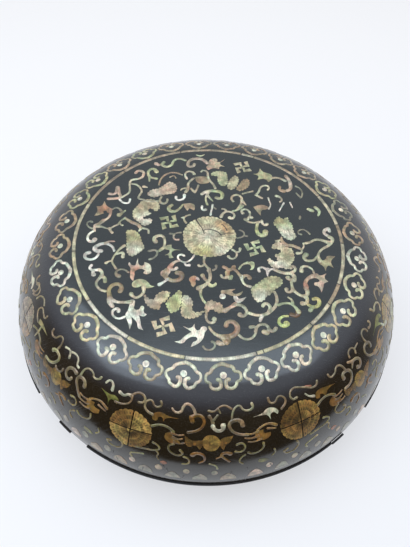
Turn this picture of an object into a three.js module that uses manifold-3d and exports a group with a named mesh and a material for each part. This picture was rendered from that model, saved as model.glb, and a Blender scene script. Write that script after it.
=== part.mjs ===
// Round lacquer box with a domed lid, inlaid with shell. Millimetres, +Z up.
// Angles called azimuth are degrees round the axis: 0 is the front (-Y), 90 the right (+X).
import * as THREE from 'three';
import { mergeVertices } from 'three/addons/utils/BufferGeometryUtils.js';
import Module from 'manifold-3d';

const wasm = await Module();
wasm.setup();

// Fit between neighbouring pieces
const joint = 0.3;

// Base
const footHeight = 8;
const footOuterRadius = 136;
const footWidth = 9;
const baseHeight = 58;
const baseWall = 7;
const floorThickness = 7;
const baseMouthHeight = 13;

// Lid
const mouthRadius = 190.3;
const lidCurveDrop = 91.5;
const shoulderExponent = 1.86;
const lidWall = 7;
const topThickness = 8;
const shoulderSpan = 26;
const mouthRingHeight = 18;
const mouthWall = 7.8;

// Locating lip of the base, which the lid's mouth drops over
const lipClearance = 0.6;
const lipWall = 3.5;
const lipRise = 10;
const lipDepth = 11;

// Hoop round the lid's mouth
const hoopHeight = 4.5;
const hoopThickness = 2.3;
const hoopSeat = 0.7;
const sprungOut = 1;

// Shell inlay
const shellThickness = 1.2;
const ringRadius = 121.5;
const stripWidth = 3;
const stripGap = 0.5;
const centreRadius = 25;
const centrePetals = 16;
const centreSetBack = 2;
const sideFlowerRadius = 17.8;
const sideFlowerPetals = 16;
const petalDepth = 0.07;

// Where the ring of strips is broken, and where the hoop is lost
const ringBreaks = [-163.8, -133.2, -107.3, -79.6, -53.2, -29.9, -6.8, 19.7, 22.4, 44.9, 57.3,
  68.3, 90.5, 101.1, 119.8, 159.3, 165.8];
// Azimuth of each side flower, and its distance down the lid's curve
const sideFlowers = [[-66.5, 66], [-18.2, 66], [27, 62.5], [73.5, 64.5], [117.5, 66], [161.5, 66],
  [205.5, 66], [249.5, 66]];
const hoopPieces = {
  rim_hoop_front: [-30.9, 37.5, 0],
  rim_hoop_right_remnant: [37.8, 41.8, sprungOut],
  rim_hoop_back: [49.9, 307.7, 0],
  rim_hoop_left_remnant: [-41.4, -37.1, 0],
};

// Facets
const roundSteps = 60;
const stepAngle = 360 / roundSteps;
const curveSteps = 9;
const innerSteps = 5;
const pointsPerPetal = 2;

// Heights and radii that follow from the sizes above
const mouthZ = baseHeight + joint;
const curveZ = mouthZ + hoopHeight;
const topZ = curveZ + lidCurveDrop;
const curveStart = ringRadius + stripWidth / 2 + joint;
const mouthInner = mouthRadius - mouthWall;
const lipOuter = mouthInner - lipClearance;
const hoopInner = mouthRadius - hoopSeat + joint;
const panelTopRadius = ringRadius - stripWidth / 2 - joint;
const flangeRadius = curveStart + topThickness / 2;
const baseFloorZ = footHeight + joint;

const rad = (degrees) => THREE.MathUtils.degToRad(degrees);

// Lid's outer curve, t from 0 at the top panel to 1 at the mouth: [radius, height]
function lidCurve(t) {
  const angle = (t * Math.PI) / 2;
  const power = 2 / shoulderExponent;
  const reach = mouthRadius - curveStart;
  return [
    curveStart + reach * Math.sin(angle) ** power,
    curveZ + lidCurveDrop * Math.cos(angle) ** power,
  ];
}

// Base's outer curve, t from 0 at the foot to 1 at the mouth ring's level
function baseCurve(t) {
  const angle = (t * Math.PI) / 2;
  const reach = mouthRadius - hoopSeat - footOuterRadius;
  return [
    footOuterRadius + reach * Math.sin(angle),
    baseHeight - (baseHeight - baseFloorZ) * Math.cos(angle),
  ];
}

function sampleCurve(curve, from, to, steps) {
  const points = [];
  for (let i = 0; i <= steps; i += 1) points.push(curve(from + ((to - from) * i) / steps));
  return points;
}

// The t at which a curve passes a given arc length or height
function findOnCurve(curve, wanted, measure) {
  let low = 0;
  let high = 1;
  for (let i = 0; i < 40; i += 1) {
    const middle = (low + high) / 2;
    if (measure(curve, middle) < wanted) low = middle;
    else high = middle;
  }
  return (low + high) / 2;
}

function arcLength(curve, t) {
  const points = sampleCurve(curve, 0, t, 60);
  let length = 0;
  for (let i = 1; i < points.length; i += 1) {
    length += Math.hypot(points[i][0] - points[i - 1][0], points[i][1] - points[i - 1][1]);
  }
  return length;
}

// Unit normal of a curve in the (radius, height) plane, on the side away from the axis
function curveNormal(curve, t, side) {
  const a = curve(Math.max(t - 0.002, 0));
  const b = curve(Math.min(t + 0.002, 1));
  const length = Math.hypot(b[0] - a[0], b[1] - a[1]);
  return [(side * (b[1] - a[1])) / length, (-side * (b[0] - a[0])) / length];
}

// The same stretch of curve moved along its normals
function offsetCurve(curve, from, to, steps, distance, side) {
  const points = [];
  for (let i = 0; i <= steps; i += 1) {
    const t = from + ((to - from) * i) / steps;
    const [r, z] = curve(t);
    const [nr, nz] = curveNormal(curve, t, side);
    points.push([r + nr * distance, z + nz * distance]);
  }
  return points;
}

// Solid of revolution from a profile that runs anticlockwise in the (radius, height) plane
function turned(profile) {
  const points = profile.map(([r, z]) => new THREE.Vector2(r, z));
  const onAxis = points[0].x === 0 && points[points.length - 1].x === 0;
  if (!onAxis) points.push(points[0].clone());
  const geometry = new THREE.LatheGeometry(points, roundSteps);
  geometry.rotateX(Math.PI / 2);
  return geometry;
}

function toSolid(geometry) {
  const bare = geometry.clone();
  bare.deleteAttribute('normal');
  bare.deleteAttribute('uv');
  const merged = mergeVertices(bare, 1e-4);
  const mesh = new wasm.Mesh({
    numProp: 3,
    vertProperties: new Float32Array(merged.attributes.position.array),
    triVerts: new Uint32Array(merged.index.array),
  });
  mesh.merge();
  return new wasm.Manifold(mesh);
}

function toGeometry(solid) {
  const mesh = solid.getMesh();
  const geometry = new THREE.BufferGeometry();
  geometry.setAttribute('position', new THREE.BufferAttribute(mesh.vertProperties, 3));
  geometry.setIndex(new THREE.BufferAttribute(mesh.triVerts, 1));
  geometry.computeVertexNormals();
  return geometry;
}

// Flat piece with a scalloped edge, one lobe to a petal, standing on z = from
function scalloped(radius, petals, from, to) {
  const shape = new THREE.Shape();
  const count = petals * pointsPerPetal;
  for (let i = 0; i < count; i += 1) {
    const angle = (i / count) * Math.PI * 2;
    const lobe = Math.abs(Math.sin((angle * petals) / 2));
    const r = radius * (1 - petalDepth * (1 - lobe));
    if (i === 0) shape.moveTo(r * Math.cos(angle), r * Math.sin(angle));
    else shape.lineTo(r * Math.cos(angle), r * Math.sin(angle));
  }
  shape.closePath();
  const geometry = new THREE.ExtrudeGeometry(shape, { depth: to - from, bevelEnabled: false });
  geometry.translate(0, 0, from);
  return geometry;
}

// Piece of a flat ring between two azimuths, with its corners on the turned pieces' facets
function ringPiece(inner, outer, from, to, low, high) {
  const angles = [from];
  const first = Math.ceil((from + 0.2) / stepAngle) * stepAngle;
  for (let a = first; a < to - 0.2; a += stepAngle) angles.push(a);
  angles.push(to);
  const shape = new THREE.Shape();
  const place = (r, a) => [r * Math.sin(rad(a)), -r * Math.cos(rad(a))];
  angles.forEach((a, i) => {
    if (i === 0) shape.moveTo(...place(outer, a));
    else shape.lineTo(...place(outer, a));
  });
  angles.reverse().forEach((a) => shape.lineTo(...place(inner, a)));
  shape.closePath();
  const geometry = new THREE.ExtrudeGeometry(shape, { depth: high - low, bevelEnabled: false });
  geometry.translate(0, 0, low);
  return geometry;
}

// Stands a piece made round the Z axis on the lid's curve, facing out along its normal
function placeOnLid(geometry, t, azimuth) {
  const [r, z] = lidCurve(t);
  const [nr, nz] = curveNormal(lidCurve, t, -1);
  const out = new THREE.Vector3(nr * Math.sin(rad(azimuth)), -nr * Math.cos(rad(azimuth)), nz);
  const along = new THREE.Vector3(Math.cos(rad(azimuth)), Math.sin(rad(azimuth)), 0);
  const up = new THREE.Vector3().crossVectors(out, along);
  const frame = new THREE.Matrix4().makeBasis(along, up, out);
  frame.setPosition(r * Math.sin(rad(azimuth)), -r * Math.cos(rad(azimuth)), z);
  return geometry.applyMatrix4(frame);
}

const lacquer = new THREE.MeshStandardMaterial({ color: 0x17181a, roughness: 0.28, metalness: 0 });
const lining = new THREE.MeshStandardMaterial({ color: 0x5c1712, roughness: 0.45, metalness: 0 });
const hoopDark = new THREE.MeshStandardMaterial({ color: 0x1d1a17, roughness: 0.6, metalness: 0 });
const shell = new THREE.MeshStandardMaterial({ color: 0xd9d3b8, roughness: 0.25, metalness: 0 });
const goldShell = new THREE.MeshStandardMaterial({ color: 0xa8843f, roughness: 0.3, metalness: 0 });

const box = new THREE.Group();

function add(name, geometry, material) {
  const mesh = new THREE.Mesh(geometry, material);
  mesh.name = name;
  box.add(mesh);
}

// Split of the lid's curve: shoulder ring, side hoop, mouth ring
const shoulderEnd = findOnCurve(lidCurve, shoulderSpan, arcLength);
const mouthTop = mouthZ + mouthRingHeight;
const hoopEnd = findOnCurve(lidCurve, -mouthTop, (curve, t) => -curve(t)[1]);

function lidTopPanel() {
  const seatDepth = shellThickness + joint;
  const board = toSolid(turned([
    [0, topZ - topThickness],
    [flangeRadius, topZ - topThickness],
    [flangeRadius, topZ - seatDepth],
    [panelTopRadius, topZ - seatDepth],
    [panelTopRadius, topZ],
    [0, topZ],
  ]));
  const seat = scalloped(centreRadius + joint, centrePetals, topZ - seatDepth, topZ + 1);
  seat.translate(0, centreSetBack, 0);
  return toGeometry(board.subtract(toSolid(seat)));
}

function lidShoulderRing() {
  const seatDepth = shellThickness + joint;
  const outer = sampleCurve(lidCurve, 0, shoulderEnd, 4).reverse();
  const inner = offsetCurve(lidCurve, 0, shoulderEnd, 3, -topThickness, -1);
  const underFlange = inner.filter(([r]) => r > flangeRadius + joint);
  return turned([
    ...outer,
    [curveStart, topZ - seatDepth + joint],
    [flangeRadius + joint, topZ - seatDepth + joint],
    [flangeRadius + joint, topZ - topThickness],
    ...underFlange,
  ]);
}

function lidSideHoop(pockets) {
  const from = shoulderEnd + 0.004;
  const to = hoopEnd - 0.004;
  const outer = sampleCurve(lidCurve, from, to, curveSteps).reverse();
  const [footRadius, footZ] = outer[0];
  const inner = offsetCurve(lidCurve, from, to, innerSteps, -lidWall, -1);
  inner[inner.length - 1] = [footRadius - lidWall, footZ];
  let hoop = toSolid(turned([...outer, ...inner]));
  pockets.forEach((pocket) => { hoop = hoop.subtract(pocket); });
  return toGeometry(hoop);
}

function lidMouthRing() {
  const outer = sampleCurve(lidCurve, hoopEnd, 1, 3).reverse();
  const seatRadius = mouthRadius - hoopSeat;
  return turned([
    [mouthInner, mouthZ],
    [seatRadius, mouthZ],
    [seatRadius, curveZ],
    ...outer,
    [mouthInner, mouthTop],
  ]);
}

// A layer of the lid's wall, from one depth under its surface to another
function lidLayer(shallow, deep) {
  const from = shoulderEnd + 0.004;
  const to = hoopEnd - 0.004;
  const outer = offsetCurve(lidCurve, from, to, curveSteps, shallow, -1).reverse();
  const inner = offsetCurve(lidCurve, from, to, curveSteps, -deep, -1);
  return toSolid(turned([...outer, ...inner]));
}

function sideFlower(layer, radius, [azimuth, arc]) {
  const reach = 12;
  const prism = scalloped(radius, sideFlowerPetals, -reach, reach);
  const at = findOnCurve(lidCurve, arc, arcLength);
  return layer.intersect(toSolid(placeOnLid(prism, at, azimuth)));
}

function addLid() {
  add('lid_top_panel', lidTopPanel(), lacquer);
  add('lid_shoulder_ring', lidShoulderRing(), lacquer);
  const shellLayer = lidLayer(0, shellThickness);
  const pocketLayer = lidLayer(2, shellThickness + joint);
  const pockets = sideFlowers.map(
    (place) => sideFlower(pocketLayer, sideFlowerRadius + joint, place),
  );
  add('lid_side_hoop', lidSideHoop(pockets), lacquer);
  sideFlowers.forEach((place, i) => {
    const flower = sideFlower(shellLayer, sideFlowerRadius, place);
    add(`side_chrysanthemum_${i + 1}`, toGeometry(flower), goldShell);
  });
  add('lid_mouth_ring', lidMouthRing(), lacquer);
  const centre = scalloped(centreRadius, centrePetals, topZ - shellThickness, topZ);
  centre.translate(0, centreSetBack, 0);
  add('centre_chrysanthemum', centre, shell);
}

function addRingStrips() {
  const inner = ringRadius - stripWidth / 2;
  const outer = ringRadius + stripWidth / 2;
  const trim = THREE.MathUtils.radToDeg(stripGap / 2 / ringRadius);
  ringBreaks.forEach((start, i) => {
    const end = i + 1 < ringBreaks.length ? ringBreaks[i + 1] : ringBreaks[0] + 360;
    const strip = ringPiece(inner, outer, start + trim, end - trim, topZ - shellThickness, topZ);
    add(`ring_strip_${String(i + 1).padStart(2, '0')}`, strip, shell);
  });
}

function addHoop() {
  Object.entries(hoopPieces).forEach(([name, [from, to, out]]) => {
    const inner = hoopInner + out;
    const piece = ringPiece(inner, inner + hoopThickness, from, to, mouthZ, curveZ - joint);
    add(name, piece, hoopDark);
  });
}

function addBase() {
  const mouthOuter = mouthRadius - hoopSeat;
  const mouthLow = baseHeight - baseMouthHeight;
  const split = findOnCurve(baseCurve, mouthLow, (curve, t) => curve(t)[1]);
  const below = split - 0.01;
  const footInner = footOuterRadius - footWidth;
  add('base_foot_ring', turned([
    [footInner, 0],
    [footOuterRadius - 1.5, 0],
    [footOuterRadius, 1.5],
    [footOuterRadius, footHeight],
    [footInner, footHeight],
  ]), lacquer);

  const outer = sampleCurve(baseCurve, 0, below, curveSteps);
  const inner = offsetCurve(baseCurve, 0.12, below, innerSteps, -baseWall, 1);
  const [brimRadius, brimZ] = outer[outer.length - 1];
  inner[inner.length - 1] = [brimRadius - baseWall, brimZ];
  const wallFoot = footOuterRadius - baseWall;
  const seat = [[wallFoot, baseFloorZ + floorThickness], [wallFoot, baseFloorZ]];
  add('base_side_hoop', turned([...outer, ...inner.reverse(), ...seat]), lacquer);

  const ringInner = lipOuter - lipWall;
  const lipLow = baseHeight - lipDepth;
  add('base_mouth_ring', turned([
    ...sampleCurve(baseCurve, split, 1, 3),
    [lipOuter + joint, baseHeight],
    [lipOuter + joint, lipLow - joint],
    [ringInner, lipLow - joint],
    [ringInner, mouthLow],
  ]), lacquer);

  add('base_locating_lip', turned([
    [ringInner, lipLow],
    [lipOuter, lipLow],
    [lipOuter, baseHeight + lipRise - 1],
    [lipOuter - 1, baseHeight + lipRise],
    [ringInner, baseHeight + lipRise],
  ]), lining);

  const floorRadius = wallFoot - joint;
  add('base_floor', turned([
    [0, baseFloorZ],
    [floorRadius, baseFloorZ],
    [floorRadius, baseFloorZ + floorThickness],
    [0, baseFloorZ + floorThickness],
  ]), lining);
}

addLid();
addRingStrips();
addHoop();
addBase();

export default box;
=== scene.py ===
"""The looks of a round lacquer box with shell inlay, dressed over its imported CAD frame.

Lengths are in metres where they are Blender's, and in millimetres where a name says so and in
the drawings of the inlay. A drawing on the flat top gives x and y. A drawing on the curved side
gives degrees round the lid, with 0 at the front, and millimetres down from the top's edge.
"""

import bisect
import functools
import math
import random

import bmesh
import bpy
from mathutils import Matrix, Vector


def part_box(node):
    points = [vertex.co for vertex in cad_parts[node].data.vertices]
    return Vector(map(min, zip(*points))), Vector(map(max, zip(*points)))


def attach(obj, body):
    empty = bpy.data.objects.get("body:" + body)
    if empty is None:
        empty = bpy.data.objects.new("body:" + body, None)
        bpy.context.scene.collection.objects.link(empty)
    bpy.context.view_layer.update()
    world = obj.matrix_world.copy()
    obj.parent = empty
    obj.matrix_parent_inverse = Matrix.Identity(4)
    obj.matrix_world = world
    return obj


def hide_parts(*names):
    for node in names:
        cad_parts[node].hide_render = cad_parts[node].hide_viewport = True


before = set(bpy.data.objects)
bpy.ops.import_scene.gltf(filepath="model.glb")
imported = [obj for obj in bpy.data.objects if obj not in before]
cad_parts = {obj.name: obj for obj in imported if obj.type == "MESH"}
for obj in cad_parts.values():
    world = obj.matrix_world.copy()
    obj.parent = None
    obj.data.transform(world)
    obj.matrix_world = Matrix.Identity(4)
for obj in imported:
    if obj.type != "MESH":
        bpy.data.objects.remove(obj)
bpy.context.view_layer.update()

MM = 0.001
draw = random.Random(7)

# The joint between two pieces that fit closely.
JOINT = 0.3 * MM

# The lid and base, read off the frame.
TOP_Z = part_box("lid_top_panel")[1].z
MOUTH_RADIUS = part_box("lid_mouth_ring")[1].x
MOUTH_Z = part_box("lid_mouth_ring")[0].z
CURVE_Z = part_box("rim_hoop_back")[1].z
CURVE_START = max(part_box(f"ring_strip_{n:02d}")[1].x for n in range(1, 18)) + JOINT
LID_WALL = 7 * MM
TOP_BOARD = 8 * MM
SHOULDER_EXPONENT = 1.86
FOOT_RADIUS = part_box("base_foot_ring")[1].x
FOOT_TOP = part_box("base_foot_ring")[1].z
FOOT_WIDTH = 9 * MM
BASE_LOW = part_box("base_side_hoop")[0].z
BASE_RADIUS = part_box("base_mouth_ring")[1].x
BASE_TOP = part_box("base_mouth_ring")[1].z
BASE_WALL = 7 * MM
LIP_LOW, LIP_TOP = (corner.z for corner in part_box("base_locating_lip"))
LIP_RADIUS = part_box("base_locating_lip")[1].x
LIP_WALL = 3.5 * MM
FLOOR_RADIUS, FLOOR_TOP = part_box("base_floor")[1].x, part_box("base_floor")[1].z
HOOP_SEAT = 0.7 * MM
RING_RADIUS_MM, STRIP_WIDTH_MM = 121.5, 3.0
STRIP_BREAKS = (
    -163.8, -133.2, -107.3, -79.6, -53.2, -29.9, -6.8, 19.7, 22.4,
    44.9, 57.3, 68.3, 90.5, 101.1, 119.8, 159.3, 165.8,
)
SIDE_FLOWERS = (-66.5, -18.2, 27.0, 73.5, 117.5, 161.5, 205.5, 249.5)
SIDE_FLOWER_DOWN_MM = (66, 66, 62.5, 64.5, 66, 66, 66, 66)
CENTRE_BACK_MM = 2.2
SIDE_FLOWER_RADIUS_MM = 18
CENTRE_RADIUS_MM = 25
SEAM_MM = 1.15

# How finely round and curved things are made, and at which corners they stay sharp.
ROUND_STEPS, CURVE_SAMPLES, CURVE_RINGS = 240, 400, 30
SMOOTH_UNDER_DEGREES = 40

# Painted shade and reflection: the side's shell is painted darker than the top's, for the less light
# on the side, and more golden, for the warm dark room that it reflects.
SIDE_PAINTED_SHADE, SIDE_WIDTH = (0.74, 0.7, 0.58), 0.84

# The lacquer's skin lies this far under the CAD's surface, and the shell's top just under it.
LACQUER_SINK_MM = 0.26
SHELL_TOP_MM = -0.12
SHELL_DEPTH_MM = 0.8

# Bands that may cross lie on layers, the tints of a drawing a little apart, and so do drawings.
LAYERS, LAYER_STEP_MM, TINT_STEP_MM, DRAWING_STEP_MM = 9, 0.0095, 0.0007, 0.004

# On the flat sheet, before it is laid on the lid: a layer's rise, the depth, and what merges.
SHEET_LAYER, SHEET_LAYERS_IN_ONE, SHEET_DEPTH, SHEET_MERGE = 0.01, 100, 10, 0.005


# --- Small helpers for working as by hand

def start_fresh():
    """Leaves edit mode and drops the selection, so that the next operator acts on new work only."""
    if bpy.context.object and bpy.context.object.mode != "OBJECT":
        bpy.ops.object.mode_set(mode="OBJECT")
    bpy.ops.object.select_all(action="DESELECT")


def take(piece):
    """Makes one piece the selected and active one."""
    start_fresh()
    piece.select_set(True)
    bpy.context.view_layer.objects.active = piece


def edit_all(piece):
    """Opens a piece in edit mode with everything selected."""
    take(piece)
    bpy.ops.object.mode_set(mode="EDIT")
    bpy.ops.mesh.select_all(action="SELECT")


def face_outward():
    """Turns every face of the piece in edit mode outward, and leaves edit mode."""
    bpy.ops.mesh.select_all(action="SELECT")
    bpy.ops.mesh.normals_make_consistent(inside=False)
    bpy.ops.object.mode_set(mode="OBJECT")


def rename(piece, name):
    """Gives a piece and its mesh a name."""
    piece.name = piece.data.name = name


def join(name, pieces):
    """Joins pieces into one of that name."""
    start_fresh()
    for piece in pieces:
        piece.select_set(True)
    bpy.context.view_layer.objects.active = pieces[0]
    if len(pieces) > 1:
        bpy.ops.object.join()
    whole = bpy.context.view_layer.objects.active
    rename(whole, name)
    return whole


def turned(name, profile):
    """A closed solid turned about the box's axis from a closed outline of (radius, height)."""
    start_fresh()
    bpy.ops.mesh.primitive_plane_add(size=MM, location=(0, 0, 0))
    piece = bpy.context.object
    bpy.ops.object.mode_set(mode="EDIT")
    bpy.ops.mesh.merge(type="CENTER")
    here = Vector((0, 0, 0))
    first = Vector((profile[0][0], 0, profile[0][1]))
    bpy.ops.transform.translate(value=first - here)
    here = first
    for radius, height in profile[1:] + profile[:1]:
        there = Vector((radius, 0, height))
        bpy.ops.mesh.extrude_vertices_move(TRANSFORM_OT_translate={"value": there - here})
        here = there
    bpy.ops.mesh.select_all(action="SELECT")
    bpy.ops.mesh.spin(steps=ROUND_STEPS, angle=math.tau, center=(0, 0, 0), axis=(0, 0, 1))
    bpy.ops.object.mode_set(mode="OBJECT")
    edit_all(piece)
    bpy.ops.mesh.remove_doubles(threshold=0.002 * MM)
    face_outward()
    rename(piece, name)
    bpy.ops.object.shade_smooth_by_angle(angle=math.radians(SMOOTH_UNDER_DEGREES))
    return piece


# --- The lid's curve

def lid_curve(turn):
    """A point of the lid's outside from the top's edge (0) to the mouth (1), as (radius, height)."""
    swing = turn * math.pi / 2
    power = 2 / SHOULDER_EXPONENT
    reach = (MOUTH_RADIUS - CURVE_START) * math.sin(swing) ** power
    drop = (TOP_Z - CURVE_Z) * max(math.cos(swing), 0) ** power
    return CURVE_START + reach, CURVE_Z + drop


def between(values, value):
    """Which step of a rising list a value lies on, and how far along it."""
    index = min(max(bisect.bisect_right(values, value) - 1, 0), len(values) - 2)
    return index, (value - values[index]) / (values[index + 1] - values[index])


class SideGround:
    """The curved side, unrolled without changing any angle, so that drawn widths stay true."""

    # The radius at which a millimetre of the sheet is a millimetre of the lid.
    unit_radius = 0.15

    def __init__(self):
        self.points, self.down, self.depth = [lid_curve(0)], [0.0], [0.0]
        for step in range(1, CURVE_SAMPLES + 1):
            radius, height = lid_curve(step / CURVE_SAMPLES)
            last_radius, last_height = self.points[-1]
            length = math.hypot(radius - last_radius, height - last_height)
            self.points.append((radius, height))
            self.down.append(self.down[-1] + length)
            self.depth.append(self.depth[-1] + length / ((radius + last_radius) / 2))

    def radius_at(self, down):
        """The lid's radius at a distance down its curve."""
        index, share = between(self.down, down)
        return self.points[index][0] * (1 - share) + self.points[index + 1][0] * share

    def draw(self, degrees, down_mm):
        """Where a drawn point goes on the unrolled sheet, and how long a millimetre is there."""
        down = down_mm * MM
        index, share = between(self.down, down)
        depth = self.depth[index] * (1 - share) + self.depth[index + 1] * share
        sheet = self.unit_radius / MM
        scale = self.unit_radius / self.radius_at(down)
        return math.radians(degrees) * sheet, -depth * sheet, scale

    def raised(self, turn, index, share, height_mm):
        """A point at a turn round the lid, raised square to the lid's surface."""
        (r0, z0), (r1, z1) = self.points[index], self.points[index + 1]
        length = math.hypot(r1 - r0, z1 - z0)
        out_r, out_z = (z0 - z1) / length, (r1 - r0) / length
        radius = r0 + (r1 - r0) * share + out_r * height_mm * MM
        height = z0 + (z1 - z0) * share + out_z * height_mm * MM
        return Vector((radius * math.sin(turn), -radius * math.cos(turn), height))

    def place(self, u, v, height_mm):
        """The place on the lid of a point of the sheet, raised by a height."""
        sheet = self.unit_radius / MM
        index, share = between(self.depth, -v / sheet)
        return self.raised(u / sheet, index, share, height_mm)

    def place_round(self, degrees, down_mm, x_mm, y_mm, height_mm):
        """The place of a point that lies x across and y up from a drawn point, in true millimetres."""
        down = (down_mm - y_mm) * MM
        index, share = between(self.down, down)
        turn = math.radians(degrees) + x_mm * MM / self.radius_at(down)
        return self.raised(turn, index, share, height_mm)


class TopGround:
    """The flat top, drawn as it is."""

    def draw(self, x, y):
        """The same point, and the same scale."""
        return x, y, 1.0

    def place(self, u, v, height_mm):
        """The place on the lid of a point of the sheet, raised by a height."""
        return Vector((u * MM, v * MM, TOP_Z + height_mm * MM))


top = TopGround()
side = SideGround()


# --- Colours

def linear(*channels):
    """A colour given in screen values from 0 to 255, as Blender's linear colour."""
    shares = [channel / 255 for channel in channels]
    return tuple(c / 12.92 if c <= 0.04045 else ((c + 0.055) / 1.055) ** 2.4 for c in shares)


SCREEN_TINTS = {
    "pale": (212, 206, 184), "cream": (188, 178, 148), "white": (220, 214, 198),
    "green": (172, 172, 134), "pink": (192, 166, 144), "tan": (160, 140, 112),
    "sand": (198, 188, 150), "umber": (118, 86, 48), "dirt": (34, 28, 20), "amber": (200, 150, 98),
    "lemon": (196, 188, 118), "moss": (140, 126, 78), "dim": (132, 126, 106),
    "gold": (146, 108, 54), "ochre": (160, 122, 62), "olive": (172, 166, 126),
    "brown": (100, 70, 42), "orange": (168, 108, 80), "leaf": (136, 136, 76),
    "lime": (180, 190, 124), "straw": (190, 156, 86),
}
TINTS = {tint: linear(*channels) for tint, channels in SCREEN_TINTS.items()}

# A plate that reaches no deeper than this lies on the flat top.
FLAT_DEPTH = 2 * MM
# The lightest that shell can be, and how much of a plate's spread in level its warmth has.
LIGHTEST, WARM_SHARE = 0.92, 0.35
# How a wash falls off from its middle, and how much of the tint it takes over there.
WASH_FALL, WASH_FULL = 0.7, 0.8


def plate_maps(mesh, plate_of):
    """A map of each loose plate, from its middle to its farthest point, for its engraving."""
    members = {}
    for vertex in mesh.vertices:
        members.setdefault(plate_of[vertex.index], []).append(vertex.co)
    frames = {}
    for plate, corners in members.items():
        middle = sum(corners, Vector()) / len(corners)
        reach = max((corner - middle).length for corner in corners)
        out = Vector((middle.x, middle.y, 0))
        flat = out.length < CURVE_START or min(c.z for c in corners) > TOP_Z - FLAT_DEPTH
        across = Vector((1, 0, 0)) if flat else Vector((-out.y, out.x, 0)).normalized()
        along = Vector((0, 1, 0)) if flat else Vector((0, 0, 1))
        frames[plate] = (middle, across / reach, along / reach)
    layer = mesh.uv_layers.new(name="petal_map")
    for corner in mesh.loops:
        middle, across, along = frames[plate_of[corner.vertex_index]]
        offset = mesh.vertices[corner.vertex_index].co - middle
        layer.data[corner.index].uv = (offset.dot(across), offset.dot(along))


def tint_pieces(piece, tints, spread=0.14, light=(1, 1, 1)):
    """Gives each loose plate of a piece its own shade of one of the tints, as cut shell has."""
    mesh = piece.data
    parent = list(range(len(mesh.vertices)))

    def root(index):
        while parent[index] != index:
            parent[index] = parent[parent[index]]
            index = parent[index]
        return index

    for edge in mesh.edges:
        a, b = (root(v) for v in edge.vertices)
        parent[a] = b
    if "petal_map" not in mesh.uv_layers:
        plate_maps(mesh, [root(index) for index in range(len(mesh.vertices))])
    colours = mesh.color_attributes.new("tint", "FLOAT_COLOR", "POINT")
    shades = {}
    for index in range(len(mesh.vertices)):
        plate = root(index)
        if plate not in shades:
            level = 1 + draw.uniform(-spread, spread)
            warm = draw.uniform(-spread, spread) * WARM_SHARE
            shade = (level * (1 + warm), level, level * (1 - warm))
            base = TINTS[draw.choice(tints)]
            shades[plate] = [min(b * s * d, LIGHTEST) for b, s, d in zip(base, shade, light)] + [1]
        colours.data[index].color = shades[plate]


def wash(piece, spots):
    """Blends colours into a piece's tint round spots: (x, y, reach, tint), all but the tint in mm."""
    for vertex, point in zip(piece.data.vertices, piece.data.color_attributes["tint"].data):
        for x, y, reach, tint in spots:
            away = math.hypot(vertex.co.x / MM - x, vertex.co.y / MM - y) / reach
            share = max(0.0, 1 - away) ** WASH_FALL * WASH_FULL
            point.color = [c + (t - c) * share for c, t in zip(point.color, (*TINTS[tint], 1))]


# --- Shell cut to drawings

# How far past a band's end, and how wide, the knots that round it are, in half widths.
ROUND_END = ((0.55, 0.8), (0.9, 0.3))
# A line turns sharply from this angle on.
SHARP_TURN = 85
# A band's width in its middle and at its ends, as shares of the drawn width.
WAIST, ENDS = 0.8, 1.1
# The points of a scalloped outline's petal, how blunt a petal is, and how many steps round its
# curve takes between two drawn points.
PETAL_POINTS, PETAL_BLUNT, ROUNDING_STEPS = 4, 0.7, 8
# The steps between two knots of a band and of an outline, and the grid that plates are cut by.
BAND_STEPS, OUTLINE_STEPS, GRID_MM = 4, 5, 4


def width_along(widths, share):
    """The width at a share of a stroke's length."""
    along = share * (len(widths) - 1)
    first = min(int(along), max(len(widths) - 2, 0))
    last = min(first + 1, len(widths) - 1)
    return widths[first] + (widths[last] - widths[first]) * (along - first)


def set_knots(spline, ground, points, widths=None, shaped=True):
    """Puts a spline's knots where the drawing has them, smooth except at sharp turns."""
    spline.bezier_points.add(len(points) - 1)
    closed = spline.use_cyclic_u
    count = len(points)
    for index, (knot, point) in enumerate(zip(spline.bezier_points, points)):
        u, v, scale = ground.draw(*point)
        knot.co = (u, v, 0)
        knot.handle_left_type = knot.handle_right_type = "AUTO"
        if 0 < index < count - 1 or closed:
            before = Vector(ground.draw(*points[index - 1])[:2])
            after = Vector(ground.draw(*points[(index + 1) % count])[:2])
            here = Vector((u, v))
            if (here - before).angle(after - here, 0) > math.radians(SHARP_TURN):
                knot.handle_left_type = knot.handle_right_type = "VECTOR"
        if widths:
            share = index / (count - 1)
            waist = WAIST + (ENDS - WAIST) * abs(2 * share - 1) ** 3 if shaped else 1
            knot.radius = width_along(widths, share) * waist / 2 * scale
            knot.tilt = math.pi / 2


def round_off(spline):
    """Adds two narrowing knots past each end of a band, which round its ends."""
    knots = spline.bezier_points
    ends = []
    for end, inner in ((0, 1), (-1, -2)):
        away = (knots[end].co - knots[inner].co).normalized()
        last = knots[end]
        ends.append([(last.co + away * last.radius * out, last.radius * share) for out, share in ROUND_END])
    line = [(k.co.copy(), k.radius, k.handle_left_type) for k in knots]
    line = [(place, radius, "AUTO") for place, radius in reversed(ends[0])] + line
    line += [(place, radius, "AUTO") for place, radius in ends[1]]
    knots.add(2 * len(ROUND_END))
    for knot, (place, radius, handle) in zip(knots, line):
        knot.co, knot.radius, knot.tilt = place, radius, math.pi / 2
        knot.handle_left_type = knot.handle_right_type = handle


def split_sharp(ground, strokes):
    """Cuts strokes in two where they turn sharply, so that no band folds over itself."""
    whole = []
    for widths, points in strokes:
        drawn = [Vector(ground.draw(*point)[:2]) for point in points]
        count = len(points)
        cuts = [
            n for n in range(1, count - 1)
            if (drawn[n] - drawn[n - 1]).angle(drawn[n + 1] - drawn[n], 0) > math.radians(SHARP_TURN)
        ]
        for first, last in zip([0] + cuts, cuts + [count - 1]):
            spread = [width_along(widths, n / (count - 1)) for n in range(first, last + 1)]
            whole.append((tuple(spread), points[first:last + 1]))
    return whole


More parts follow.
